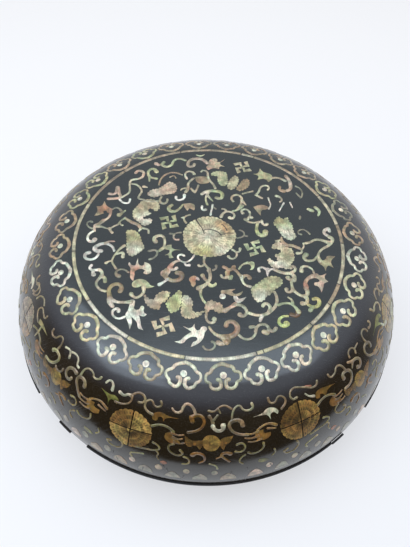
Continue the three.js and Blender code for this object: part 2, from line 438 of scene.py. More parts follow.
def empty_curve(dimensions, steps):
    """A curve object with nothing drawn in it yet."""
    start_fresh()
    bpy.ops.curve.primitive_bezier_curve_add(location=(0, 0, 0))
    lines = bpy.context.object
    lines.data.splines.clear()
    lines.data.dimensions = dimensions
    lines.data.resolution_u = steps
    return lines


def strips(ground, strokes, round_ends=True):
    """Flat bands along smooth lines. A stroke is (widths in mm along it, its points)."""
    lines = empty_curve("3D", BAND_STEPS)
    lines.data.twist_mode = "Z_UP"
    lines.data.extrude = 1
    for order, (widths, points) in enumerate(split_sharp(ground, strokes)):
        spline = lines.data.splines.new("BEZIER")
        set_knots(spline, ground, points, widths, round_ends)
        if round_ends:
            round_off(spline)
        for knot in spline.bezier_points:
            knot.co.z = (1 + order % LAYERS) * SHEET_LAYER
            knot.handle_left.z = knot.handle_right.z = knot.co.z
    bpy.ops.object.convert(target="MESH")
    return bpy.context.object


def scalloped(points, petal_mm, depth_mm):
    """An outline rounded through its points and then cut in small petals, as (x, y) points."""
    smooth = []
    count = len(points)
    for index in range(count):
        before, here, there, after = (Vector(points[(index + k) % count]) for k in (-1, 0, 1, 2))
        second = 2 * before - 5 * here + 4 * there - after
        third = 3 * here - before - 3 * there + after
        for step in range(ROUNDING_STEPS):
            t = step / ROUNDING_STEPS
            smooth.append(0.5 * (2 * here + (there - before) * t + second * t**2 + third * t**3))
    lengths = [(smooth[(n + 1) % len(smooth)] - smooth[n]).length for n in range(len(smooth))]
    around = sum(lengths)
    petals = max(5, round(around / petal_mm))
    area = sum(a.cross(b) for a, b in zip(smooth, smooth[1:] + smooth[:1]))
    outward = 1 if area > 0 else -1
    outline = []
    for number in range(petals * PETAL_POINTS):
        target = number / (petals * PETAL_POINTS) * around
        index = 0
        while target > lengths[index]:
            target -= lengths[index]
            index += 1
        here, there = smooth[index], smooth[(index + 1) % len(smooth)]
        along = (there - here).normalized()
        square = Vector((along.y, -along.x)) * outward
        bulge = abs(math.sin(math.pi * (number % PETAL_POINTS) / PETAL_POINTS)) ** PETAL_BLUNT
        place = here.lerp(there, target / lengths[index]) + square * depth_mm * (bulge - 0.5)
        outline.append((place.x, place.y))
    return outline


def plates(ground, outlines):
    """Flat plates filled inside closed smooth outlines, and cut by a grid so that they can bend."""
    lines = empty_curve("2D", OUTLINE_STEPS)
    lines.data.fill_mode = "BOTH"
    for points in outlines:
        spline = lines.data.splines.new("BEZIER")
        spline.use_cyclic_u = True
        set_knots(spline, ground, points)
    bpy.ops.object.convert(target="MESH")
    sheet = bpy.context.object
    corners = [v.co for v in sheet.data.vertices]
    edit_all(sheet)
    for axis, across in ((0, (1, 0, 0)), (1, (0, 1, 0))):
        low, high = min(c[axis] for c in corners), max(c[axis] for c in corners)
        for cut in range(math.ceil(low / GRID_MM), math.floor(high / GRID_MM) + 1):
            bpy.ops.mesh.select_all(action="SELECT")
            middle = [0, 0, 0]
            middle[axis] = cut * GRID_MM
            bpy.ops.mesh.bisect(plane_co=middle, plane_no=across)
    bpy.ops.object.mode_set(mode="OBJECT")
    return sheet


def thicken(sheet, put, lift_mm=0.0):
    """Thickens a flat sheet and puts each point in its place, given u, v and a height in mm."""
    edit_all(sheet)
    bpy.ops.mesh.remove_doubles(threshold=SHEET_MERGE)
    bpy.ops.mesh.select_all(action="SELECT")
    bpy.ops.mesh.extrude_region_move(TRANSFORM_OT_translate={"value": (0, 0, -SHEET_DEPTH)})
    face_outward()
    for vertex in sheet.data.vertices:
        u, v, level = vertex.co
        face = SHELL_TOP_MM + level * SHEET_LAYERS_IN_ONE * LAYER_STEP_MM + lift_mm
        vertex.co = put(u, v, -SHELL_DEPTH_MM if level < -SHEET_DEPTH / 2 else face)


def inlay(sheet, ground, tint, spread=0.14, lift_mm=0.0, light=(1, 1, 1)):
    """Thickens a flat sheet into plates of shell and lays them into the ground."""
    thicken(sheet, ground.place, lift_mm)
    tint_pieces(sheet, (tint,), spread, light)
    return sheet


def read_rows(words):
    """The rows of a drawing written as text, with comments on lines that start with #.

    A row has a tint, then its widths in mm with strokes between (or - for a filled outline), and
    then its points.
    """
    rows = []
    lines = [line for line in words.splitlines() if not line.startswith("#")]
    for word in " ".join(lines).split():
        if word.isalpha():
            rows.append([word])
        elif len(rows[-1]) == 1:
            rows[-1].append(None if word == "-" else tuple(float(part) for part in word.split("/")))
        else:
            rows[-1].append(tuple(float(part) for part in word.split(",")))
    return rows


def lay_rows(name, ground, rows, finish, slot_name="pale_shell", lift_mm=0.0, light=(1, 1, 1), spots=()):
    """Lays all the shell of a drawing's rows as one piece, washed with colour at spots.

    Every tint lies at its own height, so that no two plates that touch share a face.
    """
    drawing = {}
    for tint, widths, *points in rows:
        drawing.setdefault(tint, []).append((widths, points))
    made = []
    for order, (tint, shapes) in enumerate(drawing.items()):
        height = lift_mm + order * TINT_STEP_MM
        strokes = [(widths, points) for widths, points in shapes if widths]
        outlines = [points for widths, points in shapes if not widths]
        for make, shape in ((strips, strokes), (plates, outlines)):
            if shape:
                made.append(inlay(make(ground, shape), ground, tint, lift_mm=height, light=light))
    piece = join(name, made)
    wash(piece, spots)
    finish_piece(piece, "lid", slot_name, finish)


# --- Materials

def new_material(name, roughness, coat=0.0, coat_roughness=0.1):
    """A material and its shader."""
    material = bpy.data.materials.new(name)
    material.use_nodes = True
    shader = material.node_tree.nodes["Principled BSDF"]
    shader.inputs["Roughness"].default_value = roughness
    shader.inputs["Coat Weight"].default_value = coat
    shader.inputs["Coat Roughness"].default_value = coat_roughness
    return material, shader


def add(tree, kind, inputs=(), **settings):
    """Adds a node, sets it, and links or sets its inputs by name or number."""
    node = tree.nodes.new("ShaderNode" + kind)
    for key, value in settings.items():
        setattr(node, key, value)
    for key, value in dict(inputs).items():
        if isinstance(value, bpy.types.NodeSocket):
            tree.links.new(value, node.inputs[key])
        else:
            node.inputs[key].default_value = value
    return node


def maths(tree, operation, *values):
    """A sum of that kind."""
    return add(tree, "Math", dict(enumerate(values)), operation=operation).outputs[0]


def product(tree, first, *others):
    """All the values multiplied."""
    for value in others:
        first = maths(tree, "MULTIPLY", first, value)
    return first


def mix_colour(tree, factor, first, second, blend="MIX"):
    """Two colours mixed or blended."""
    inputs = {0: factor, 6: first, 7: second}
    return add(tree, "Mix", inputs, data_type="RGBA", blend_type=blend).outputs[2]


def noise(tree, place, scale, detail=2, roughness=0.5):
    """The node of a cloudy noise."""
    inputs = {"Vector": place, "Scale": scale, "Detail": detail, "Roughness": roughness}
    return add(tree, "TexNoise", inputs)


def steps_between(tree, value, low, high, to_low=0.0, to_high=1.0):
    """A value taken smoothly from one range to another."""
    inputs = {"Value": value, "From Min": low, "From Max": high, "To Min": to_low, "To Max": to_high}
    return add(tree, "MapRange", inputs, interpolation_type="SMOOTHSTEP").outputs[0]


def new_group(name, sockets_in, sockets_out):
    """A node group with named sockets, and its input and output nodes."""
    group = bpy.data.node_groups.new(name, "ShaderNodeTree")
    for socket, kind, value in sockets_in:
        made = group.interface.new_socket(socket, in_out="INPUT", socket_type="NodeSocket" + kind)
        if value is not None:
            made.default_value = value
    for socket, kind in sockets_out:
        group.interface.new_socket(socket, in_out="OUTPUT", socket_type="NodeSocket" + kind)
    return group, group.nodes.new("NodeGroupInput"), group.nodes.new("NodeGroupOutput")


# The two ways in which shell's hue plays, and the dark in its cracks.
WARM_PLAY, GREEN_PLAY, CRACK_DARK = (1.14, 0.93, 0.85, 1), (0.9, 1.06, 0.92, 1), (0.06, 0.045, 0.03, 1)


def nacre_play():
    """Cloudy shifts of hue, growth lines and fine cracks, as in sheets of mother-of-pearl."""
    group, given, out = new_group(
        "nacre_play",
        (("Tint", "Color", None), ("Play", "Float", 0.5), ("Cracks", "Float", 0.5)),
        (("Color", "Color"), ("Height", "Float")),
    )
    place = add(group, "TexCoord").outputs["Object"]

    def cloud(scale, detail, *levels):
        return steps_between(group, noise(group, place, scale, detail).outputs["Fac"], *levels)

    hue = mix_colour(group, cloud(180, 2, 0.36, 0.64), WARM_PLAY, GREEN_PLAY)
    played = mix_colour(group, given.outputs["Play"], given.outputs["Tint"], hue, "MULTIPLY")
    wave = {"Vector": place, "Scale": 170, "Distortion": 9, "Detail": 3, "Detail Scale": 1.2}
    growth = steps_between(group, add(group, "TexWave", wave).outputs["Fac"], 0, 0.4, 0.78, 1.0)
    patches, broad = cloud(230, 3, 0.34, 0.66, 0.62, 1.24), cloud(105, 1, 0.38, 0.62, 0.82, 1.16)
    lined = product(group, patches, broad, growth)
    shaded = mix_colour(group, 1.0, played, lined, "MULTIPLY")
    cells = {"Vector": place, "Scale": 95, "Randomness": 1.0}
    edge = add(group, "TexVoronoi", cells, feature="DISTANCE_TO_EDGE").outputs["Distance"]
    crack = steps_between(group, edge, 0.0, 0.03, 1.0, 0.0)
    crack = product(group, crack, cloud(70, 2, 0.5, 0.6), given.outputs["Cracks"])
    group.links.new(mix_colour(group, crack, shaded, CRACK_DARK), out.inputs["Color"])
    group.links.new(maths(group, "SUBTRACT", lined, crack), out.inputs["Height"])
    return group


def old_wear():
    """Dust, rubbed patches and fine scratches of old lacquer."""
    group, given, out = new_group(
        "old_wear",
        (("Amount", "Float", 0.5),),
        (("Rubbed", "Float"), ("Scratches", "Float"), ("Dust", "Float")),
    )
    amount = given.outputs["Amount"]
    place = add(group, "TexCoord").outputs["Object"]
    broad = noise(group, place, 14, 5, 0.6).outputs["Fac"]
    grain = noise(group, place, 1500, 1).outputs["Fac"]
    scratches = []
    for turn, scale, low, high in ((0.7, (40, 900, 60), 0.6, 0.72), (-0.5, (50, 1100, 60), 0.62, 0.74)):
        drawn_out = {"Vector": place, "Rotation": (0, 0, turn), "Scale": scale}
        hair = noise(group, add(group, "Mapping", drawn_out).outputs[0], 1).outputs["Fac"]
        scratches.append(steps_between(group, hair, low, high))
    made = {
        "Rubbed": product(group, steps_between(group, broad, 0.42, 0.72), amount),
        "Scratches": maths(group, "MAXIMUM", *scratches),
        "Dust": product(group, steps_between(group, grain, 0.62, 0.75), amount),
    }
    for socket, value in made.items():
        group.links.new(value, out.inputs[socket])
    return group


def engraved_petals():
    """Fine lines between the petals of a ring, and round their tips."""
    group, given, out = new_group(
        "engraved_petals",
        (
            ("Map", "Vector", None), ("Petals", "Float", 28.0), ("Inner", "Float", 0.66),
            ("Outer", "Float", 1.0), ("Line", "Float", 0.012),
        ),
        (("Lines", "Float"),),
    )
    petals = given.outputs["Petals"]
    x, y, _ = add(group, "SeparateXYZ", {0: given.outputs["Map"]}).outputs
    radius = maths(group, "SQRT", maths(group, "ADD", product(group, x, x), product(group, y, y)))
    half_turns = product(group, maths(group, "ARCTAN2", y, x), maths(group, "DIVIDE", petals, 2.0))
    to_length = maths(group, "DIVIDE", product(group, radius, 2.0), petals)
    between_petals = maths(group, "ABSOLUTE", maths(group, "SINE", half_turns))

    def drawn(distance):
        return steps_between(group, distance, 0.0, given.outputs["Line"], 1.0, 0.0)

    edges = drawn(product(group, between_petals, to_length))
    tip = product(group, given.outputs["Outer"], maths(group, "MULTIPLY_ADD", between_petals, 0.06, 0.94))
    arcs = drawn(maths(group, "ABSOLUTE", maths(group, "SUBTRACT", radius, tip)))
    past_inner = maths(group, "GREATER_THAN", radius, given.outputs["Inner"])
    edges = product(group, edges, product(group, past_inner, maths(group, "LESS_THAN", radius, tip)))
    lines = maths(group, "MAXIMUM", edges, product(group, arcs, 0.4))
    group.links.new(lines, out.inputs["Lines"])
    return group


NACRE, WEAR, PETALS = nacre_play(), old_wear(), engraved_petals()

# Rings of petals: how many, and the ring's inner and outer share of the flower's radius.
CENTRE_TIERS = ((46, 0.87, 1.0), (40, 0.68, 0.84), (32, 0.46, 0.62), (11, 0.2, 0.44))
SIDE_TIERS = ((40, 0.76, 0.94), (32, 0.52, 0.7), (20, 0.14, 0.46))
PLAQUE_TIERS = ((30, 0.74, 1.4), (22, 0.42, 0.72), (14, 0.12, 0.42))

# How far the petals' map sways, and half of that, which sets it back in the middle.
SWAY, SWAY_BACK = (0.09, 0.09, 0.0), (0.045, 0.045, 0.0)

# The colour of dirt in engraved lines, and of a lighter cut.
BARK, SHADE = (0.03, 0.02, 0.01, 1), (0.1, 0.08, 0.045, 1)


def shell_material(name, roughness, play, cracks, tiers=(), line=0.012, engraved=0.6, cut=BARK):
    """Polished shell that takes each plate's own tint, with petals engraved where it has tiers."""
    material, shader = new_material(name, roughness, 0.3, 0.12)
    tree = material.node_tree
    tint = add(tree, "Attribute", attribute_name="tint").outputs["Color"]
    nacre = add(tree, "Group", {"Tint": tint, "Play": play, "Cracks": cracks}, node_tree=NACRE)
    colour, height = nacre.outputs["Color"], nacre.outputs["Height"]
    if tiers:
        flat = add(tree, "UVMap", uv_map="petal_map").outputs["UV"]
        sway = noise(tree, flat, 3.2).outputs["Color"]
        where = add(tree, "VectorMath", {0: sway, 1: SWAY, 2: flat}, operation="MULTIPLY_ADD").outputs[0]
        where = add(tree, "VectorMath", {0: where, 1: SWAY_BACK}, operation="SUBTRACT").outputs[0]
        lines = 0.0
        for petals, inner, outer in tiers:
            given = {"Map": where, "Petals": petals, "Inner": inner, "Outer": outer, "Line": line}
            ring = add(tree, "Group", given, node_tree=PETALS)
            lines = maths(tree, "MAXIMUM", lines, ring.outputs["Lines"])
        worn = noise(tree, flat, 2.4).outputs["Fac"]
        lines = product(tree, lines, steps_between(tree, worn, 0.36, 0.6, 0.55 * engraved, engraved))
        colour = mix_colour(tree, lines, colour, cut)
        height = maths(tree, "SUBTRACT", height, lines)
    tree.links.new(colour, shader.inputs["Base Color"])
    bump = add(tree, "Bump", {"Height": height, "Strength": 0.12, "Distance": 0.0002})
    tree.links.new(bump.outputs[0], shader.inputs["Normal"])
    return material


# Painted sheen: a bluish reflection painted into the lacquer's colour on the shoulder and the top:
# where it sets in and is full, going up, and its colour.
PAINTED_SHEEN_BANDS = ((0.133, 0.147, (0.02, 0.0175, 0.0225)), (0.1485, 0.1538, (0.0095, 0.0125, 0.0145)))
LACQUER_SHEEN, DUST = (0.92, 0.98, 1, 1), (0.25, 0.24, 0.22, 1)


def lacquer_material(name, colour, worn_colour, roughness, amount, ior=1.6, painted_sheen=()):
    """Old lacquer: dark, glossy, rubbed and finely scratched, with painted sheen where it is given some."""
    material, shader = new_material(name, roughness)
    shader.inputs["IOR"].default_value = ior
    shader.inputs["Specular Tint"].default_value = LACQUER_SHEEN
    tree = material.node_tree
    wear = add(tree, "Group", {"Amount": amount}, node_tree=WEAR)
    rubbed, scratches, dust = wear.outputs
    base = mix_colour(tree, rubbed, (*colour, 1), (*worn_colour, 1))
    up = add(tree, "SeparateXYZ", {0: add(tree, "TexCoord").outputs["Object"]}).outputs[2]
    # Painted sheen: a bluish colour mixed in by height, lighter on the shoulder and the top.
    for low, high, tone in painted_sheen:
        base = mix_colour(tree, steps_between(tree, up, low, high), base, (*tone, 1))
    base = mix_colour(tree, product(tree, dust, 0.25), base, DUST)
    tree.links.new(base, shader.inputs["Base Color"])
    marks = maths(tree, "ADD", product(tree, rubbed, 0.18), product(tree, scratches, 0.12))
    tree.links.new(maths(tree, "ADD", marks, roughness), shader.inputs["Roughness"])
    bump = add(tree, "Bump", {"Height": scratches, "Strength": 0.05, "Distance": 0.0001})
    tree.links.new(bump.outputs[0], shader.inputs["Normal"])
    return material


black_lacquer = lacquer_material(
    "black_lacquer", (0.02, 0.0125, 0.005), (0.027, 0.018, 0.0095), 0.14, 0.6, painted_sheen=PAINTED_SHEEN_BANDS
)
red_lining = lacquer_material("red_lining", (0.12, 0.012, 0.008), (0.17, 0.03, 0.018), 0.34, 0.5)
hoop_finish = lacquer_material("hoop_finish", (0.006, 0.005, 0.0045), (0.02, 0.014, 0.011), 0.5, 0.6, 1.3)
pale_nacre = shell_material("pale_nacre", 0.3, 0.7, 0.5)
strip_nacre = shell_material("strip_nacre", 0.3, 0.35, 0.0)
golden_nacre = shell_material("golden_nacre", 0.32, 0.6, 0.6)
pale_petals = shell_material("pale_petals", 0.3, 0.4, 0.5, CENTRE_TIERS, 0.028, 0.78, SHADE)
pale_plaques = shell_material("pale_plaques", 0.3, 0.5, 0.5, PLAQUE_TIERS, 0.04, 0.42, SHADE)
golden_petals = shell_material("golden_petals", 0.32, 0.6, 0.6, SIDE_TIERS, 0.06, 1.0)
golden_plaques = shell_material("golden_plaques", 0.32, 0.6, 0.6, PLAQUE_TIERS, 0.06, 1.0)


def finish_piece(piece, body, slot_name, *materials, replaces=()):
    """Gives a piece its materials and body, and hides the CAD nodes it stands for. The slot name is not used.
    """
    piece.data.materials.clear()
    for material in materials:
        piece.data.materials.append(material)
    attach(piece, body)
    if replaces:
        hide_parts(*replaces)


# --- The lid and base in lacquer

# The turn over which a wall's slope is taken, and what counts as facing inward and downward.
TURN_STEP, FACING, DOWNWARD = 0.001, 1e-5, -0.2


def base_curve(turn):
    """A point of the base's outside from the foot (0) to the rim (1), as (radius, height)."""
    swing = turn * math.pi / 2
    reach = (BASE_RADIUS - FOOT_RADIUS) * math.sin(swing)
    return FOOT_RADIUS + reach, BASE_TOP - (BASE_TOP - BASE_LOW) * math.cos(swing)


def wall_inside(turn, wall, curve=lid_curve):
    """The inside of a wall, square to its outside. The base's wall is given as less than nothing."""
    r0, z0 = curve(max(turn - TURN_STEP, 0))
    r1, z1 = curve(min(turn + TURN_STEP, 1))
    length = math.hypot(r1 - r0, z1 - z0)
    radius, height = curve(turn)
    return radius - (z0 - z1) / length * wall, height - (r1 - r0) / length * wall


def line_inside(skin, is_inside):
    """Gives the second material to the faces of a skin that lie inside, and the first to the rest."""
    for face in skin.data.polygons:
        inward = -(face.normal.x * face.center.x + face.normal.y * face.center.y)
        face.material_index = 1 if is_inside(face, inward > FACING) else 0


RINGS = [number / CURVE_RINGS for number in range(CURVE_RINGS + 1)]
SINK = LACQUER_SINK_MM * MM
BOARD_UNDER, LID_INSIDE_RADIUS = TOP_Z - TOP_BOARD, MOUTH_RADIUS - LID_WALL
LID_SEAT_RADIUS, LID_SEAT_Z, MOUTH_FACE_Z = MOUTH_RADIUS - HOOP_SEAT, CURVE_Z - 0.1 * MM, MOUTH_Z + 0.5 * MM

lid_outline = [(radius, TOP_Z - SINK) for radius in (0, CURVE_START * 0.5, CURVE_START - 2 * MM)]
lid_outline += [wall_inside(turn, SINK) for turn in RINGS]
lid_outline += [(LID_SEAT_RADIUS, LID_SEAT_Z), (LID_SEAT_RADIUS, MOUTH_Z)]
lid_outline += [(LID_INSIDE_RADIUS, MOUTH_Z), (LID_INSIDE_RADIUS, CURVE_Z)]
lid_walls = [wall_inside(turn, LID_WALL) for turn in reversed(RINGS[2:])]
lid_outline += [(r, z) for r, z in lid_walls if z < BOARD_UNDER and r < LID_INSIDE_RADIUS]
lid_outline += [(CURVE_START * 0.9, BOARD_UNDER), (0, BOARD_UNDER)]
lid_skin = turned("lid_lacquer", lid_outline)
line_inside(
    lid_skin,
    lambda face, inward: inward or face.normal.z < DOWNWARD and face.center.z > MOUTH_FACE_Z,
)
finish_piece(
    lid_skin,
    "lid",
    "lacquer",
    black_lacquer,
    red_lining,
    replaces=("lid_top_panel", "lid_shoulder_ring", "lid_side_hoop", "lid_mouth_ring"),
)

FOOT_INSIDE, LIP_INSIDE, EDGE = FOOT_RADIUS - FOOT_WIDTH, LIP_RADIUS - LIP_WALL, 0.8 * MM
LEDGE_RADIUS, LEDGE_Z, LEDGE_HEIGHT = LIP_RADIUS + JOINT, LIP_LOW - JOINT, 5 * MM
FLOOR_SEAT, WALL_TOP = FLOOR_RADIUS + JOINT, LIP_LOW - 7 * MM

base_outline = [(FOOT_INSIDE, 0), (FOOT_RADIUS - EDGE, 0), (FOOT_RADIUS, EDGE), (FOOT_RADIUS, FOOT_TOP)]
base_outline += [base_curve(turn) for turn in RINGS]
base_outline += [(LEDGE_RADIUS, BASE_TOP), (LEDGE_RADIUS, LEDGE_Z)]
base_outline += [(LIP_INSIDE, LEDGE_Z), (LIP_INSIDE, LIP_LOW - LEDGE_HEIGHT)]
base_walls = [wall_inside(turn, -BASE_WALL, base_curve) for turn in reversed(RINGS[1:])]
base_outline += [(r, z) for r, z in base_walls if z < WALL_TOP]
base_outline += [(FLOOR_SEAT, FLOOR_TOP), (FLOOR_SEAT, FOOT_TOP), (FOOT_INSIDE, FOOT_TOP)]
base_skin = turned("base_lacquer", base_outline)


def base_inside(face, inward):
    """Whether a face of the base's skin is one of its inside, above the floor."""
    within = math.hypot(face.center.x, face.center.y) < LIP_RADIUS - EDGE
    return face.center.z > FLOOR_TOP - EDGE and (inward or face.normal.z > 0.5 and within)


line_inside(base_skin, base_inside)
finish_piece(
    base_skin,
    "base",
    "lacquer",
    black_lacquer,
    red_lining,
    replaces=("base_foot_ring", "base_side_hoop", "base_mouth_ring"),
)
lip_outline = [
    (LIP_INSIDE, LIP_LOW), (LIP_RADIUS, LIP_LOW), (LIP_RADIUS, LIP_TOP - EDGE),
    (LIP_RADIUS - EDGE, LIP_TOP), (LIP_INSIDE + EDGE, LIP_TOP), (LIP_INSIDE, LIP_TOP - EDGE),
]
finish_piece(turned("base_lip", lip_outline), "base", "lining", red_lining, replaces=("base_locating_lip",))
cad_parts["base_floor"].data.materials.clear()
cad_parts["base_floor"].data.materials.append(red_lining)


# --- The dark hoop round the lid's mouth

HOOP_RADIUS_MM, HOOP_MIDDLE_MM, HOOP_HALF_MM = 190.5, 60.2, (0.95, 1.7)
HOOP_STEP_DEGREES, HOOP_CORNERS = 1.5, 12

# The hoop's lengths: where each starts and ends round the lid, and how far it stands off.
HOOP_PIECES = (
    ("front", -30.9, 37.5, 0), ("right_remnant", 37.8, 41.8, 0.7),
    ("back", 52.6, 307.7, 0), ("left_remnant", -41.4, -37.1, 0),
)


def hoop_piece(name, start, end, out_mm):
    """A bent length of the hoop: a rounded section spun round the lid's axis."""
    start_fresh()
    bpy.ops.mesh.primitive_circle_add(vertices=HOOP_CORNERS, radius=1, rotation=(math.pi / 2, 0, 0))
    piece = bpy.context.object
    bpy.ops.object.transform_apply(rotation=True)
    for vertex in piece.data.vertices:
        across, up = (math.copysign(abs(share) ** 0.5, share) for share in (vertex.co.x, vertex.co.z))
        radius = HOOP_RADIUS_MM + out_mm + across * HOOP_HALF_MM[0]
        vertex.co = Vector((radius, 0, HOOP_MIDDLE_MM + up * HOOP_HALF_MM[1])) * MM
    piece.rotation_euler.z = math.radians(start - 90)
    bpy.ops.object.transform_apply(rotation=True)
    edit_all(piece)
    steps = max(3, round((end - start) / HOOP_STEP_DEGREES))
    bpy.ops.mesh.spin(steps=steps, angle=math.radians(start - end), center=(0, 0, 0), axis=(0, 0, 1))
    bpy.ops.mesh.select_all(action="SELECT")
    bpy.ops.mesh.fill_holes(sides=0)
    face_outward()
    rename(piece, f"hoop_{name}")
    finish_piece(piece, "lid", "hoop", hoop_finish, replaces=(f"rim_hoop_{name}",))


for hoop_place in HOOP_PIECES:
    hoop_piece(*hoop_place)


# --- The ring of shell strips

STRIP_TINTS = (
    "tan", "tan", "cream", "sand", "pale", "sand", "pale", "sand", "sand",
    "cream", "tan", "cream", "tan", "cream", "tan", "cream", "tan",
)
STRIP_GAP_MM, STRIP_KNOT_DEGREES, STRIP_SPREAD = 0.8, 4, 0.06


def ring_strip(number, start, end):
    """One strip of the ring, cut as a band along its arc, with a joint at each end."""
    gap = math.degrees(STRIP_GAP_MM / 2 / RING_RADIUS_MM)
    knots = max(2, round((end - start) / STRIP_KNOT_DEGREES) + 1)
    turns = [math.radians(start + gap + (end - start - 2 * gap) * n / (knots - 1)) for n in range(knots)]
    arc = [(RING_RADIUS_MM * math.sin(turn), -RING_RADIUS_MM * math.cos(turn)) for turn in turns]
    band = strips(top, [((STRIP_WIDTH_MM,), arc)], round_ends=False)
    strip = inlay(band, top, STRIP_TINTS[number], STRIP_SPREAD)
    rename(strip, f"strip_{number + 1:02d}")
    finish_piece(strip, "lid", "pale_shell", strip_nacre, replaces=(f"ring_strip_{number + 1:02d}",))


for number, (start, end) in enumerate(zip(STRIP_BREAKS, (*STRIP_BREAKS[1:], STRIP_BREAKS[0] + 360))):
    ring_strip(number, start, end)


# --- The chrysanthemums

PETAL_CORNERS, PETAL_ROUND = 8, 0.6
# Each ring of a flower's sheet is the one before, from the rim inward, times this.
FLOWER_RINGS = (0.86, 0.8, 0.75, 0.7, 0.6, 0.4)


def hand_cut(turn):
    """How far a hand-cut outline wanders out and in, round a turn."""
    return math.sin(3 * turn + 0.6) + math.sin(5 * turn + 2) + 1.6 * abs(math.sin(5.5 * turn)) - 2.5


def flower_sheet(radius_mm, petals, scallop, seams=(), uneven=0.0):
    """A flat scalloped disc in rings, drawn in millimetres, cut along seams.

    A seam is (its distance from the middle, the direction square to it in degrees).
    """
    start_fresh()
    bpy.ops.mesh.primitive_circle_add(vertices=petals * PETAL_CORNERS, radius=radius_mm)
    sheet = bpy.context.object
    for index, vertex in enumerate(sheet.data.vertices):
        bulge = abs(math.sin(math.pi * index / PETAL_CORNERS)) ** PETAL_ROUND
        wave = hand_cut(math.tau * index / (petals * PETAL_CORNERS))
        vertex.co *= (1 - scallop * (1 - bulge)) * (1 + uneven * wave)
    bpy.ops.object.mode_set(mode="EDIT")
    bpy.ops.mesh.select_all(action="SELECT")
    for share in FLOWER_RINGS:
        bpy.ops.mesh.extrude_edges_move()
        bpy.ops.transform.resize(value=(share, share, 1))
    bpy.ops.mesh.merge(type="CENTER")
    for offset, direction in seams:
        across = Vector((math.cos(math.radians(direction)), math.sin(math.radians(direction)), 0))
        for side_of_gap in (-1, 1):
            edge = across * (offset + side_of_gap * SEAM_MM / 2)
            bpy.ops.mesh.select_all(action="SELECT")
            bpy.ops.mesh.bisect(plane_co=edge, plane_no=across)
        cut = bmesh.from_edit_mesh(sheet.data)
        gap = [f for f in cut.faces if abs(f.calc_center_median().dot(across) - offset) < SEAM_MM / 2]
        bmesh.ops.delete(cut, geom=gap, context="FACES")
        bmesh.update_edit_mesh(sheet.data)
    bpy.ops.object.mode_set(mode="OBJECT")
    return sheet


def map_petals(sheet, radius_mm):
    """A map of the flower from -1 to 1 each way, which its engraved petals follow."""
    layer = sheet.data.uv_layers.new(name="petal_map")
    for corner in sheet.data.loops:
        place = sheet.data.vertices[corner.vertex_index].co
        layer.data[corner.index].uv = (place.x / radius_mm, place.y / radius_mm)


def on_top(x, y, height_mm):
    """The place of a point of the centre flower."""
    return top.place(x, y + CENTRE_BACK_MM, height_mm)


CENTRE_PETALS, CENTRE_SCALLOP, CENTRE_UNEVEN = 34, 0.04, 0.014
CENTRE_WASH = (
    (12, 17, 9, "amber"), (17, 11, 7, "amber"), (-4, -17, 13, "lemon"), (0, 3, 14, "pale"),
    (12, -14, 10, "pale"),
)
centre_flower = flower_sheet(CENTRE_RADIUS_MM, CENTRE_PETALS, CENTRE_SCALLOP, uneven=CENTRE_UNEVEN)
map_petals(centre_flower, CENTRE_RADIUS_MM)
thicken(centre_flower, on_top)
tint_pieces(centre_flower, ("sand",), 0.0)
wash(centre_flower, CENTRE_WASH)
rename(centre_flower, "centre_flower")
finish_piece(centre_flower, "lid", "pale_shell", pale_petals, replaces=("centre_chrysanthemum",))

SIDE_PETALS, SIDE_SCALLOP, SIDE_SPREAD = 24, 0.05, 0.24
# Two seams cross each side flower, near its middle, in mm, and nearly square to each other.
SEAM_OFF, SEAM_TURN = (-1, 1), (-4, 4)
# Partly painted reflection: the side flowers' golden tints are the shell's own colour with the warm dark room
# that it reflects painted in.
SIDE_FLOWER_TINTS = (
    ("ochre", "tan", "gold"), ("straw", "ochre", "straw", "gold"),
    ("straw", "ochre", "gold"), ("lemon", "sand", "straw"),
)
for number, degrees in enumerate(SIDE_FLOWERS):
    seams = [(draw.uniform(*SEAM_OFF), square + draw.uniform(*SEAM_TURN)) for square in (0, 90)]
    flower = flower_sheet(SIDE_FLOWER_RADIUS_MM, SIDE_PETALS, SIDE_SCALLOP, seams)
    map_petals(flower, SIDE_FLOWER_RADIUS_MM)
    thicken(flower, functools.partial(side.place_round, degrees, SIDE_FLOWER_DOWN_MM[number]))
    tint_pieces(flower, SIDE_FLOWER_TINTS[number % len(SIDE_FLOWER_TINTS)], SIDE_SPREAD)
    rename(flower, f"side_flower_{number + 1}")
    finish_piece(
        flower, "lid", "golden_shell", golden_petals, replaces=(f"side_chrysanthemum_{number + 1}",)
    )


# --- Old cracks and losses, each a sliver of dirt just over the shell

CENTRE_CRACKS = read_rows("""
dirt 1.3/1/0.8 -12.6,21.6 -9.8,16.5 -7.4,12.3 -5.6,8.2 -4.6,5
dirt 0.8/1.3/1.4/0.9 -5.4,9.4 -2.2,10.6 2,10.4 6.2,9 9.2,6.8 10.8,4.2
dirt 0.8/0.6 10.8,5 15,6.6 22.3,7.2
dirt 0.8/1 11.5,17.5 14.4,14.2 16.2,10.5
""")
BORDER_LOSSES = read_rows("""
dirt 0.8/1.1/0.5 -8.9,96.4 -8.5,100 -8.7,104
dirt 1/0.8 -7.9,101 -7.6,104.5
dirt 0.7/1.1 12,98 12.3,102.6
dirt 0.8/1 18.1,100 18.3,103.5
dirt 0.8/1.3 25.9,99.5 26.4,103.6
dirt 0.9/1.4 29,102.5 29.5,107
dirt 0.7/1 -22.1,101 -22.3,105.5
dirt 0.7/1 -21.2,107.5 -21,112
dirt 0.7/1 -13.9,107.5 -14.1,112.5
dirt 0.7/1 -3.6,109 -3.9,113
dirt 0.8/1 8.1,101.5 8.3,105
""")

# Dark slivers lie just higher than the shell that they cross.
SLIVER_LIFT_MM = 0.012

lay_rows("centre_cracks", top, CENTRE_CRACKS, golden_nacre, "lacquer", SLIVER_LIFT_MM)
lay_rows("border_losses", side, BORDER_LOSSES, golden_nacre, "lacquer", SLIVER_LIFT_MM)


# --- The top's vine, read from the photograph part by part

